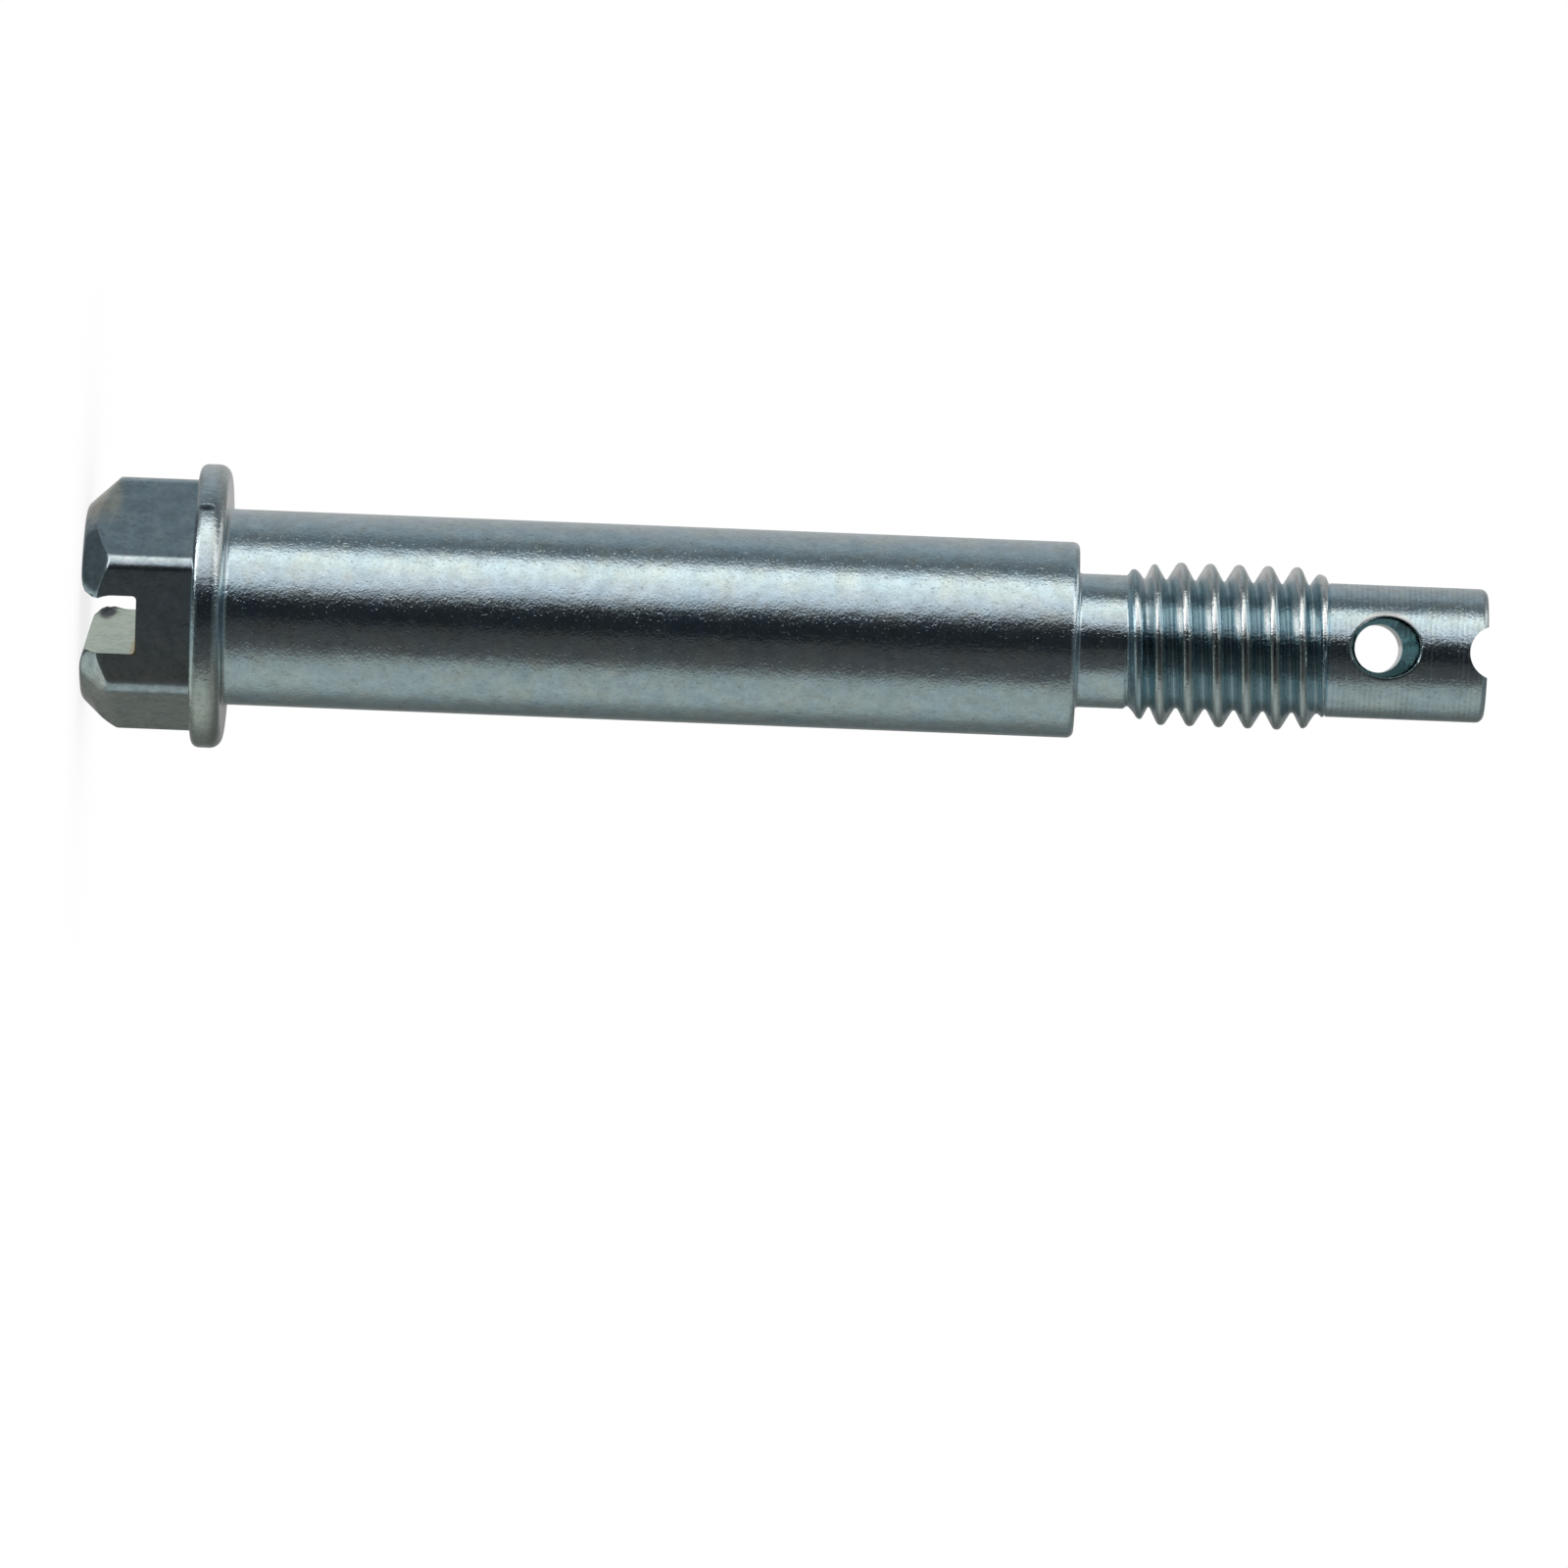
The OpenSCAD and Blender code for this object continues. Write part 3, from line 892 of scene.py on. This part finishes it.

# %% The slot: its stained wall and root, and painted shade on the burr
SLOT_BORDER, SLOT_FOOT = (SLOT_HALF + 0.05, SLOT_HALF + 0.01), (SLOT_DEPTH + 0.1, SLOT_DEPTH + 0.05)
WALL_STAIN, ROOT_STAIN, ROOT_STAIN_Z = (0.0, 0.5), (0.7, 1.1), (wall_end - 0.1, wall_end)
BURR_SIZE, BURR_DRAWN = (0.56, 0.42), 0.2
off_slot = sum_of(product(across_x, math.cos(HEAD_TURN)), product(across_y, math.sin(HEAD_TURN)))
along_slot = sum_of(product(across_y, math.cos(HEAD_TURN)), product(across_x, -math.sin(HEAD_TURN)))
in_slot = product(within(distance2(off_slot), *SLOT_BORDER), fade(along_z, *SLOT_FOOT))
stained_wall = product(in_slot, fade(off_slot, *WALL_STAIN))
stained_root = product(stained_wall, fade(off_slot, *ROOT_STAIN), fade(along_z, *ROOT_STAIN_Z))
burr_off2 = distance2(
    off_from(off_slot, SLOT_HALF),
    product(off_from(along_slot, half_flats), BURR_DRAWN),
    off_from(along_z, BURR_Z),
)
# Painted shade: the burr is coloured nearly black.
burr_painted_shade = within(burr_off2, *BURR_SIZE)
print("slot masks, nodes so far:", len(nodes))

# %% The flange: painted light on its top, stains, painted shade on its seat rim, and the nick with painted shade
BRIGHT_TOP, STAINED_SIDE = (-0.5, -1.5), (-1.0, 0.5)
RIM_TOP, RIM_LOW, RIM_Z = (-0.8, -1.6, 0.6), (2.0, 3.5, 0.95), (6.15, 6.5)
NICK_X, NICK_Y, NICK_Z, NICK_DRAWN = -4.7, -5.05, 5.95, 0.55
NICK_SIZE = (0.27, 0.1, 0.85)
on_flange = product(on_head, fade(along_z, HEX_END_Z, FLANGE_Z))
# Painted light: the top of the flange gets a brighter colour.
upper_flange_painted_light = product(on_flange, fade(across_x, *BRIGHT_TOP))
flange_marks = marks(0.45, 0.52, 0.72, detail=3.0, roughness=0.7)
stains = product(on_flange, flange_marks, fade(across_x, *STAINED_SIDE))
# Painted shade: the flange's seat rim is darkened above and below the middle of the picture.
rim_shade = sum_of(fade(across_x, *RIM_TOP), fade(across_x, *RIM_LOW))
seat_rim_painted_shade = product(on_flange, fade(along_z, *RIM_Z), rim_shade)
nick_off2 = distance2(
    off_from(across_x, NICK_X),
    off_from(across_y, NICK_Y),
    product(off_from(along_z, NICK_Z), NICK_DRAWN),
)
# Painted shade: besides its small bump, the nick is coloured nearly black.
nick = within(nick_off2, *NICK_SIZE)
print("flange masks, nodes so far:", len(nodes))

# %% The thread: die lines, crests with a band of painted shade, and painted highlights and painted shade on flanks and roots, by their share of a turn from the crest
THREAD_BORDER = 0.2
DIE_LINES = (9.0, 14.0)
CREST_LIMITS = (3.72, 3.86)
HIGHLIGHT_X, HIGHLIGHT_TURN = (-0.3, -0.9), (0.64, 0.74)
LIT_TOP, LIT_FOOT = (-2.5, -1.9), (-0.3, -0.8)
BRIGHT_TURN = (0.66, 0.75)
FLANK_START, FLANK_END = (0.03, 0.07), (0.26, 0.22)
FACING_START, FACING_END = (0.23, 0.28), (0.43, 0.39)
ROOT_START, ROOT_END = (0.44, 0.48), (0.67, 0.62)
CREST_SHADE_TOP, CREST_SHADE_FOOT = (-0.6, -0.1), (1.9, 1.3)
angle_turns = product(combined("ARCTAN2", across_y, across_x), -1 / (2 * math.pi))
helix_turns = sum_of(product(along_z, 1 / (PITCH * MM)), angle_turns)
thread_start = fade(along_z, THREAD_Z, THREAD_Z + THREAD_BORDER)
on_thread = product(thread_start, fade(along_z, PILOT_Z, PILOT_Z - THREAD_BORDER))
die_lines = product(*[wave(product(helix_turns, lines)) for lines in DIE_LINES], on_thread)
crests = product(on_thread, within(off_axis2, *CREST_LIMITS))
# Painted shade: the crests are darkened in a band along the middle of the picture.
crest_painted_shade = product(crests, fade(across_x, *CREST_SHADE_TOP), fade(across_x, *CREST_SHADE_FOOT))
from_crest = altered("FRACT", sum_of(helix_turns, -CREST_AT_X / PITCH))
# Painted highlight: part of each flank on the upper side of the thread is made nearly white.
upper_flank_painted_highlight = product(on_thread, spread(from_crest, *HIGHLIGHT_TURN), fade(across_x, *HIGHLIGHT_X))
lit_side = product(on_thread, fade(across_x, *LIT_FOOT), fade(across_x, *LIT_TOP))
# Painted highlights and painted shade: on the lit band of the thread, parts of each turn are made lighter
# and others darker.
lit_flank_painted_highlight = product(lit_side, spread(from_crest, *BRIGHT_TURN))
lit_flank_painted_shade = product(lit_side, spread(from_crest, *FLANK_START), spread(from_crest, *FLANK_END))
facing_flank_painted_highlight = product(lit_side, spread(from_crest, *FACING_START), spread(from_crest, *FACING_END))
lit_root_painted_shade = product(lit_side, spread(from_crest, *ROOT_START), spread(from_crest, *ROOT_END))
print("thread masks, nodes so far:", len(nodes))

# %% The countersink and painted shade on its upper part
SINK_BORDER = (1.02 * SINK_R, 0.95 * SINK_R)
SINK_TOP = (SINK_X - 0.7, SINK_X - 1.2)
in_sink = within(distance2(off_from(across_x, SINK_X), off_from(along_z, sink_z)), *SINK_BORDER)
# Painted shade: the upper part of the countersink is darkened.
sink_top_painted_shade = product(in_sink, fade(across_x, *SINK_TOP))
print("countersink masks, nodes so far:", len(nodes))

# %% [markdown]
# ## Colour in layers
# The colour starts as plain bluish zinc. Each layer then moves it towards its own tint, by its mask and by
# a share, as thin coats of paint would. Some layers are painted light and painted shade. Large differences
# come first, and fine grain and pits come late, so that they lie on top. In a thread groove light is
# reflected three times, so tints show more strongly there, and the painted highlights on the flanks come
# last.

# %% Tints and layers
# Painted light: the lighter olive of the head's lower side, the tan and light olive of the chamfer, and the
# brighter flange top. Painted shade: the near-black of the burr and the nick, and the darker seat rim,
# crests, flanks, roots and upper countersink. Painted highlight: the near-white flanks of the thread.
ZINC, ZINC_WARM, ZINC_BLUE = (0.76, 0.905, 0.97), (0.83, 0.915, 0.87), (0.68, 0.885, 1.0)
BROWN, PIT, STAIN = (0.42, 0.4, 0.34), (0.2, 0.22, 0.22), (0.5, 0.48, 0.4)
HEAD_ZINC, HEAD_OLIVE, EDGE_ZINC = (0.63, 0.79, 0.87), (0.78, 0.86, 0.79), (0.69, 0.81, 0.87)
TAN, LIGHT_OLIVE = (1.0, 1.0, 0.88), (0.98, 1.0, 0.96)
SLOT_ZINC, SLOT_ROOT_TINT, PAINTED_SHADE_DARK = (0.75, 0.96, 0.77), (0.7, 0.55, 0.16), (0.03, 0.045, 0.07)
FLANGE_PAINTED_LIGHT, RIM_PAINTED_SHADE = (0.78, 0.9, 0.95), (0.55, 0.58, 0.55)
THREAD_ZINC, CREST_ZINC, CREST_SHADE_GREY = (0.51, 0.665, 0.725), (0.67, 0.75, 0.75), (0.3, 0.34, 0.33)
PAINTED_HIGHLIGHT_ZINC, FLANK_PAINTED_SHADE, ROOT_PAINTED_SHADE = (0.95, 0.97, 0.97), (0.37, 0.51, 0.58), (0.26, 0.38, 0.43)
SINK_ZINC, SINK_PAINTED_SHADE = (0.76, 0.9, 0.92), (0.65, 0.66, 0.66)
WHOLE = 1.0
LAYERS = [
    (warm_cloud, WHOLE, ZINC_WARM),
    (blue_cloud, WHOLE, ZINC_BLUE),
    (shade_cloud, 0.26, PIT),
    (brown_spots, 0.4, BROWN),
    (on_head, WHOLE, HEAD_ZINC),
    (lower_side_painted_light, WHOLE, HEAD_OLIVE),
    (upper_flange_painted_light, WHOLE, FLANGE_PAINTED_LIGHT),
    (seat_rim_painted_shade, WHOLE, RIM_PAINTED_SHADE),
    (light_spots, 0.6, LIGHT_OLIVE),
    (upper_chamfer_painted_light, WHOLE, TAN),
    (lower_chamfer_painted_light, WHOLE, LIGHT_OLIVE),
    (hex_edges, WHOLE, EDGE_ZINC),
    (stained_wall, WHOLE, SLOT_ZINC),
    (stained_root, WHOLE, SLOT_ROOT_TINT),
    (burr_painted_shade, WHOLE, PAINTED_SHADE_DARK),
    (on_thread, WHOLE, THREAD_ZINC),
    (die_lines, 0.5, PIT),
    (crests, WHOLE, CREST_ZINC),
    (upper_flank_painted_highlight, WHOLE, PAINTED_HIGHLIGHT_ZINC),
    (lit_flank_painted_shade, WHOLE, FLANK_PAINTED_SHADE),
    (lit_root_painted_shade, WHOLE, ROOT_PAINTED_SHADE),
    (crest_painted_shade, 0.6, CREST_SHADE_GREY),
    (tool_rings, 0.22, PIT),
    (in_sink, WHOLE, SINK_ZINC),
    (sink_top_painted_shade, WHOLE, SINK_PAINTED_SHADE),
    (nick, WHOLE, PAINTED_SHADE_DARK),
    (shade_grain, 0.14, PIT),
    (mottle, 0.26, PIT),
    (pale_cloud, 0.3, LIGHT_OLIVE),
    (dim_cloud, 0.25, PIT),
    (stains, 0.5, STAIN),
    (pits, 0.45, PIT),
    (lit_flank_painted_highlight, 0.85, PAINTED_HIGHLIGHT_ZINC),
    (facing_flank_painted_highlight, 0.75, PAINTED_HIGHLIGHT_ZINC),
]
colour = ZINC
for mask, share, tint in LAYERS:
    colour = tinted(mask if share == WHOLE else product(mask, share), colour, tint)
links.new(colour, shader.inputs["Base Color"])
print("colour layers:", len(LAYERS))

# %% [markdown]
# ## Roughness and relief
# The plating is smooth with duller clouds, and the hexagon is duller still. Its relief is a few hundredths
# of a millimetre at most, too fine for the mesh, so it is a bump. Cut faces in the slot and the countersink
# are flatter than forged ones, and the bump is weaker there.

# %% Roughness and bump
SMOOTH_LIMITS, SMOOTHEST, DULLEST, HEX_DULLER = (0.35, 0.65), 0.06, 0.12, 0.1
CUT_BUMP, HEX_BUMP = 0.12, 0.5
RELIEF = [
    (grain, 0.011),
    (patches, 0.011),
    (pips, 0.0025),
    (dents, -0.006),
    (swell, 0.014),
    (tool_rings, 0.014),
    (nick, -0.02),
    (die_lines, 0.004),
]
smooth = spread(plate_noise(0.9, 2.0), *SMOOTH_LIMITS, SMOOTHEST, DULLEST)
links.new(sum_of(smooth, product(on_hex, HEX_DULLER)), shader.inputs["Roughness"])
bump = nodes.new("ShaderNodeBump")
bump.inputs["Distance"].default_value = MM
cut_strength = spread(combined("MAXIMUM", in_sink, in_slot), 0.0, 1.0, 1.0, CUT_BUMP)
bump_strength = combined("MINIMUM", cut_strength, spread(on_hex, 0.0, 1.0, 1.0, HEX_BUMP))
links.new(bump_strength, bump.inputs["Strength"])
links.new(sum_of(*[product(mask, height) for mask, height in RELIEF]), bump.inputs["Height"])
links.new(bump.outputs["Normal"], shader.inputs["Normal"])
skin.materials.append(plating)
print("plating nodes:", len(nodes))

# %% [markdown]
# ## The floor and the white surroundings
# The pin stands on a plain pale floor that keeps its soft shadow. The world is plain white where the camera
# or a reflection looks past the pin, and lights the floor from all sides at a plain level. A lit backdrop
# would do the same, but the floor would then turn grey away from its lamps. So part of the floor's white is
# a glow of its own, which only the camera sees.


# %% Helpers for the pieces of the stage
def stage_piece(name, points, faces, material):
    """A piece of the stage, from its points, its faces and a material."""
    mesh = bpy.data.meshes.new(name)
    mesh.from_pydata(points, [], faces)
    mesh.materials.append(material)
    piece = bpy.data.objects.new(name, mesh)
    bpy.context.scene.collection.objects.link(piece)
    return piece


def disc(radius, z, corners=96):
    """Points and the one face of a flat disc across the axis of the pin."""
    points = [tuple(p) for p in turned(radius, np.arange(corners) * 2 * math.pi / corners, z)]
    return points, [tuple(range(corners))]


print("corners of a disc:", len(disc(1.0, 0.0)[0]))

# %% Floor
FLOOR_R, FLOOR_WHITE = 0.6, 0.82
PAPER = (0.95, 0.95, 0.95, 1)
paper = bpy.data.materials.new("pale_paper")
paper.use_nodes = True
paper_nodes, paper_links = paper.node_tree.nodes, paper.node_tree.links
lit_paper = paper_nodes["Principled BSDF"]
lit_paper.inputs["Base Color"].default_value = PAPER
lit_paper.inputs["Roughness"].default_value = 1.0
lit_paper.inputs["Specular IOR Level"].default_value = 0.0
white = paper_nodes.new("ShaderNodeEmission")
look = paper_nodes.new("ShaderNodeLightPath")
part_white = paper_nodes.new("ShaderNodeMath")
part_white.operation = "MULTIPLY"
part_white.inputs[1].default_value = FLOOR_WHITE
paper_links.new(look.outputs["Is Camera Ray"], part_white.inputs[0])
blend = paper_nodes.new("ShaderNodeMixShader")
paper_links.new(part_white.outputs[0], blend.inputs["Fac"])
paper_links.new(lit_paper.outputs["BSDF"], blend.inputs[1])
paper_links.new(white.outputs["Emission"], blend.inputs[2])
paper_links.new(blend.outputs["Shader"], paper_nodes["Material Output"].inputs["Surface"])
floor = stage_piece("floor", *disc(FLOOR_R, 0.0), paper)
floor.visible_glossy = False
print("floor radius, m:", FLOOR_R)

# %% World
STUDIO_LIGHT = 1.12
WHITE = (1, 1, 1, 1)
world = bpy.data.worlds.new("white_studio")
bpy.context.scene.world = world
world.use_nodes = True
sky_nodes, sky_links = world.node_tree.nodes, world.node_tree.links
path = sky_nodes.new("ShaderNodeLightPath")
seen = path.outputs["Is Camera Ray"]
for ray in ("Is Glossy Ray", "Is Transmission Ray"):
    either = sky_nodes.new("ShaderNodeMath")
    either.operation = "MAXIMUM"
    sky_links.new(seen, either.inputs[0])
    sky_links.new(path.outputs[ray], either.inputs[1])
    seen = either.outputs[0]
strength = sky_nodes.new("ShaderNodeMapRange")
strength.inputs["To Min"].default_value = STUDIO_LIGHT
strength.inputs["To Max"].default_value = 1.0
sky_links.new(seen, strength.inputs["Value"])
sky_nodes["Background"].inputs["Color"].default_value = WHITE
sky_links.new(strength.outputs["Result"], sky_nodes["Background"].inputs["Strength"])
print("white where it is seen, and lights at", STUDIO_LIGHT)

# %% [markdown]
# ## The light tent
# Bright metal shows its surroundings more than its own colour. In a studio, the look of a pin is shaped by
# a long softbox on one side, a dark gap where the camera stands, and grey card below. Here they are zones
# of one long tube round the pin, which only reflections see: a ramp gives its glow by the angle round the
# pin. The softbox narrows towards the tip, and far out the zones are simpler. Each end of the tube is a
# disc with a ramp from the top of the picture down, and its front half has a ramp of its own.

# %% The tent's zones: the angle from the camera towards the top of the picture, the glow and its tint
NEUTRAL, COOL, DEEP = (1.0, 1.0, 1.0), (0.88, 1.0, 1.07), (0.85, 1.0, 1.18)
GREENISH, VIOLET, CREAM = (0.92, 1.0, 0.97), (0.97, 1.0, 1.06), (1.02, 1.03, 0.98)
ZONES = [
    (-180, 0.32, NEUTRAL), (-152, 0.13, GREENISH), (-126, 0.18, GREENISH), (-108, 0.36, GREENISH),
    (-92, 0.41, GREENISH), (-64, 0.36, GREENISH), (-51, 0.12, NEUTRAL), (-45, 0.085, NEUTRAL),
    (-17, 0.05, NEUTRAL), (-14, 0.024, DEEP), (-9, 0.019, DEEP), (6, 0.021, DEEP), (10, 0.034, DEEP),
    (14, 0.05, NEUTRAL), (20, 0.35, VIOLET), (26, 0.53, VIOLET), (32, 0.71, VIOLET), (45, 0.86, NEUTRAL),
    (52, 0.91, CREAM), (59, 1.07, CREAM), (65, 1.1, CREAM), (71, 0.87, NEUTRAL), (79, 0.28, COOL),
    (86, 0.15, COOL), (92, 0.16, COOL), (100, 0.24, COOL), (110, 0.34, COOL), (140, 0.42, NEUTRAL),
    (180, 0.5, NEUTRAL),
]
SIDE_ZONES = [
    (-180, 0.24, NEUTRAL), (-152, 0.16, GREENISH), (-126, 0.2, GREENISH), (-108, 0.3, GREENISH),
    (-92, 0.34, GREENISH), (-64, 0.28, GREENISH), (-45, 0.12, GREENISH), (-14, 0.06, COOL), (17, 0.06, COOL),
    (25, 0.5, NEUTRAL), (34, 1.0, NEUTRAL), (45, 1.3, NEUTRAL), (58, 1.3, NEUTRAL), (66, 0.7, NEUTRAL),
    (76, 0.34, COOL), (90, 0.18, COOL), (110, 0.26, COOL), (140, 0.28, NEUTRAL), (180, 0.24, NEUTRAL),
]
NARROWER = {10: 3, 14: 4, 20: 4, 26: 2, 32: 1, 71: -2, 79: -2, 86: -2}
TIP_ZONES = [(degrees + NARROWER.get(degrees, 0), level, tint) for degrees, level, tint in ZONES]
print("tent zones:", len(ZONES), "and far out:", len(SIDE_ZONES))

# %% A glowing material from colour ramps
BRIGHTEST = 3.0
NEW_STOP = 0.5


def ramp(tree, value, stops):
    """A colour ramp over a value, from stops of a position, a glow and its tint."""
    node = tree.nodes.new("ShaderNodeValToRGB")
    tree.links.new(value, node.inputs["Fac"])
    while len(node.color_ramp.elements) < len(stops):
        node.color_ramp.elements.new(NEW_STOP)
    for element, (position, level, tint) in zip(node.color_ramp.elements, stops):
        element.position = position
        element.color = (*[level * t / BRIGHTEST for t in tint], 1.0)
    return node.outputs["Color"]


def glowing(name, value_of, stops, *others):
    """A glowing material with a colour ramp over a value. Each of the others takes its place by a share."""
    material = bpy.data.materials.new(name)
    material.use_nodes = True
    tree = material.node_tree
    tree.nodes.clear()
    coordinates = tree.nodes.new("ShaderNodeTexCoord")
    split = tree.nodes.new("ShaderNodeSeparateXYZ")
    tree.links.new(coordinates.outputs["Object"], split.inputs["Vector"])
    value = value_of(tree, split)
    colour = ramp(tree, value, stops)
    for share_of, other_stops in others:
        mix = tree.nodes.new("ShaderNodeMix")
        mix.data_type = "RGBA"
        sockets = [s for s in mix.inputs if s.type == "RGBA"]
        tree.links.new(colour, sockets[0])
        tree.links.new(ramp(tree, value, other_stops), sockets[1])
        tree.links.new(share_of(tree, split), mix.inputs["Factor"])
        colour = next(s for s in mix.outputs if s.type == "RGBA")
    emission = tree.nodes.new("ShaderNodeEmission")
    emission.inputs["Strength"].default_value = BRIGHTEST
    tree.links.new(colour, emission.inputs["Color"])
    output = tree.nodes.new("ShaderNodeOutputMaterial")
    tree.links.new(emission.outputs["Emission"], output.inputs["Surface"])
    return material


print("brightest glow that a ramp can give:", BRIGHTEST)

# %% Places on the tent, as values between 0 and 1
TENT_R, TENT_LOW, TENT_HIGH, TENT_SIDES = 0.3, -0.3, 0.37, 96
FAR_START, FAR_END = 0.09, 0.16
FRONT_START, FRONT_END = -0.05, -0.09
HEAD_SIDE, TIP_SIDE = -0.005, 0.055


def tree_range(tree, source, low, high):
    """A value between two limits as a share, held at 0 and 1."""
    node = tree.nodes.new("ShaderNodeMapRange")
    node.inputs["From Min"].default_value = low
    node.inputs["From Max"].default_value = high
    tree.links.new(source, node.inputs["Value"])
    return node.outputs["Result"]


def far_out(tree, split):
    """0 beside the pin, and 1 towards either end of the tent."""
    off = tree.nodes.new("ShaderNodeMath")
    off.operation = "SUBTRACT"
    off.inputs[1].default_value = TIP_Z / 2 * MM
    tree.links.new(split.outputs["Z"], off.inputs[0])
    size = tree.nodes.new("ShaderNodeMath")
    size.operation = "ABSOLUTE"
    tree.links.new(off.outputs[0], size.inputs[0])
    return tree_range(tree, size.outputs[0], FAR_START, FAR_END)


def towards_tip(tree, split):
    """0 beside the head and 1 beside the tip."""
    return tree_range(tree, split.outputs["Z"], HEAD_SIDE, TIP_SIDE)


def front_half(tree, split):
    """0 behind the pin and 1 on the camera's side, on an end of the tent."""
    return tree_range(tree, split.outputs["Y"], FRONT_START, FRONT_END)


def bearing(tree, split):
    """The angle round the pin as a share of a full turn, counted from the side behind the pin."""
    angle = tree.nodes.new("ShaderNodeMath")
    angle.operation = "ARCTAN2"
    for socket, axis in zip(angle.inputs, ("X", "Y")):
        flip = tree.nodes.new("ShaderNodeMath")
        flip.operation = "MULTIPLY"
        flip.inputs[1].default_value = -1.0
        tree.links.new(split.outputs[axis], flip.inputs[0])
        tree.links.new(flip.outputs[0], socket)
    return tree_range(tree, angle.outputs[0], -math.pi, math.pi)


def across_end(tree, split):
    """The place on an end of the tent, from the top of the picture down, as a share of its width."""
    return tree_range(tree, split.outputs["X"], -TENT_R, TENT_R)


print("tent length, m:", round(TENT_HIGH - TENT_LOW, 2))

# %% The tent and its two ends
HEAD_END = [(0.0, 0.1, COOL), (0.5, 0.08, COOL), (0.57, 0.36, GREENISH), (0.75, 0.5, GREENISH)]
HEAD_FRONT = [
    (0.0, 0.5, NEUTRAL), (0.08, 2.0, NEUTRAL), (0.3, 2.0, NEUTRAL), (0.36, 0.4, COOL), (0.42, 0.06, COOL),
    (0.57, 0.2, GREENISH), (0.75, 0.4, GREENISH),
]
TIP_END = [
    (0.0, 0.9, NEUTRAL), (0.28, 0.7, NEUTRAL), (0.42, 0.18, COOL), (0.6, 0.14, COOL), (1.0, 0.2, GREENISH),
]
TIP_FRONT = [
    (0.0, 0.5, NEUTRAL), (0.08, 1.1, NEUTRAL), (0.3, 1.1, NEUTRAL), (0.36, 0.3, COOL), (0.42, 0.06, COOL),
    (0.6, 0.1, COOL), (1.0, 0.2, GREENISH),
]


def by_turn(zones):
    """Stops of a ramp from zones, with each angle as a share of a full turn."""
    return [((degrees + 180) / 360, level, tint) for degrees, level, tint in zones]


beside_tip, beside_far = (towards_tip, by_turn(TIP_ZONES)), (far_out, by_turn(SIDE_ZONES))
tent_glow = glowing("tent_glow", bearing, by_turn(ZONES), beside_tip, beside_far)
head_glow = glowing("head_end_glow", across_end, HEAD_END, (front_half, HEAD_FRONT))
tip_glow = glowing("tip_end_glow", across_end, TIP_END, (front_half, TIP_FRONT))
tent_turn = np.arange(TENT_SIDES) * 2 * math.pi / TENT_SIDES
tent_points = [tuple(p) for z in (TENT_LOW, TENT_HIGH) for p in turned(TENT_R, tent_turn, z)]
tent = [
    stage_piece("light_tent", tent_points, grid_faces(2, TENT_SIDES, True, 0), tent_glow),
    stage_piece("tent_head_end", *disc(TENT_R, TENT_LOW), head_glow),
    stage_piece("tent_tip_end", *disc(TENT_R, TENT_HIGH), tip_glow),
]
for panel in tent:
    panel.visible_camera = False
    panel.visible_diffuse = False
    panel.visible_shadow = False
print("tent pieces:", [panel.name for panel in tent])

# %% [markdown]
# ## The camera
# The picture is taken from far off with a long lens, square to the pin. The camera is turned on its side,
# so that the axis of the pin runs across the picture with its tip slightly lower.

# %% Camera
LENS, SENSOR, PICTURE = 315.0, 36.0, 1600
PIXELS_A_MM = 20.98
TILT = math.radians(2.2627)
AIM_X, AIM_Z, EYE_Z = 7.55, 34.31, 37.24
CLIP_NEAR, CLIP_FAR = 0.01, 10
distance = LENS / SENSOR * PICTURE / PIXELS_A_MM
aim = Vector((AIM_X, 0.0, AIM_Z)) * MM
eye = Vector((AIM_X, -distance, EYE_Z)) * MM
camera_data = bpy.data.cameras.new("camera")
camera_data.lens = LENS
camera_data.sensor_width = SENSOR
camera_data.clip_start = CLIP_NEAR
camera_data.clip_end = CLIP_FAR
camera = bpy.data.objects.new("camera", camera_data)
bpy.context.scene.collection.objects.link(camera)
forward = (aim - eye).normalized()
right = Vector((-math.sin(TILT), 0.0, math.cos(TILT)))
right = (right - right.dot(forward) * forward).normalized()
up = right.cross(forward)
camera.matrix_world = Matrix.Translation(eye) @ Matrix((right, up, -forward)).transposed().to_4x4()
bpy.context.scene.camera = camera
bpy.context.scene.view_settings.view_transform = "Standard"
print("camera distance, mm:", round(distance, 1))
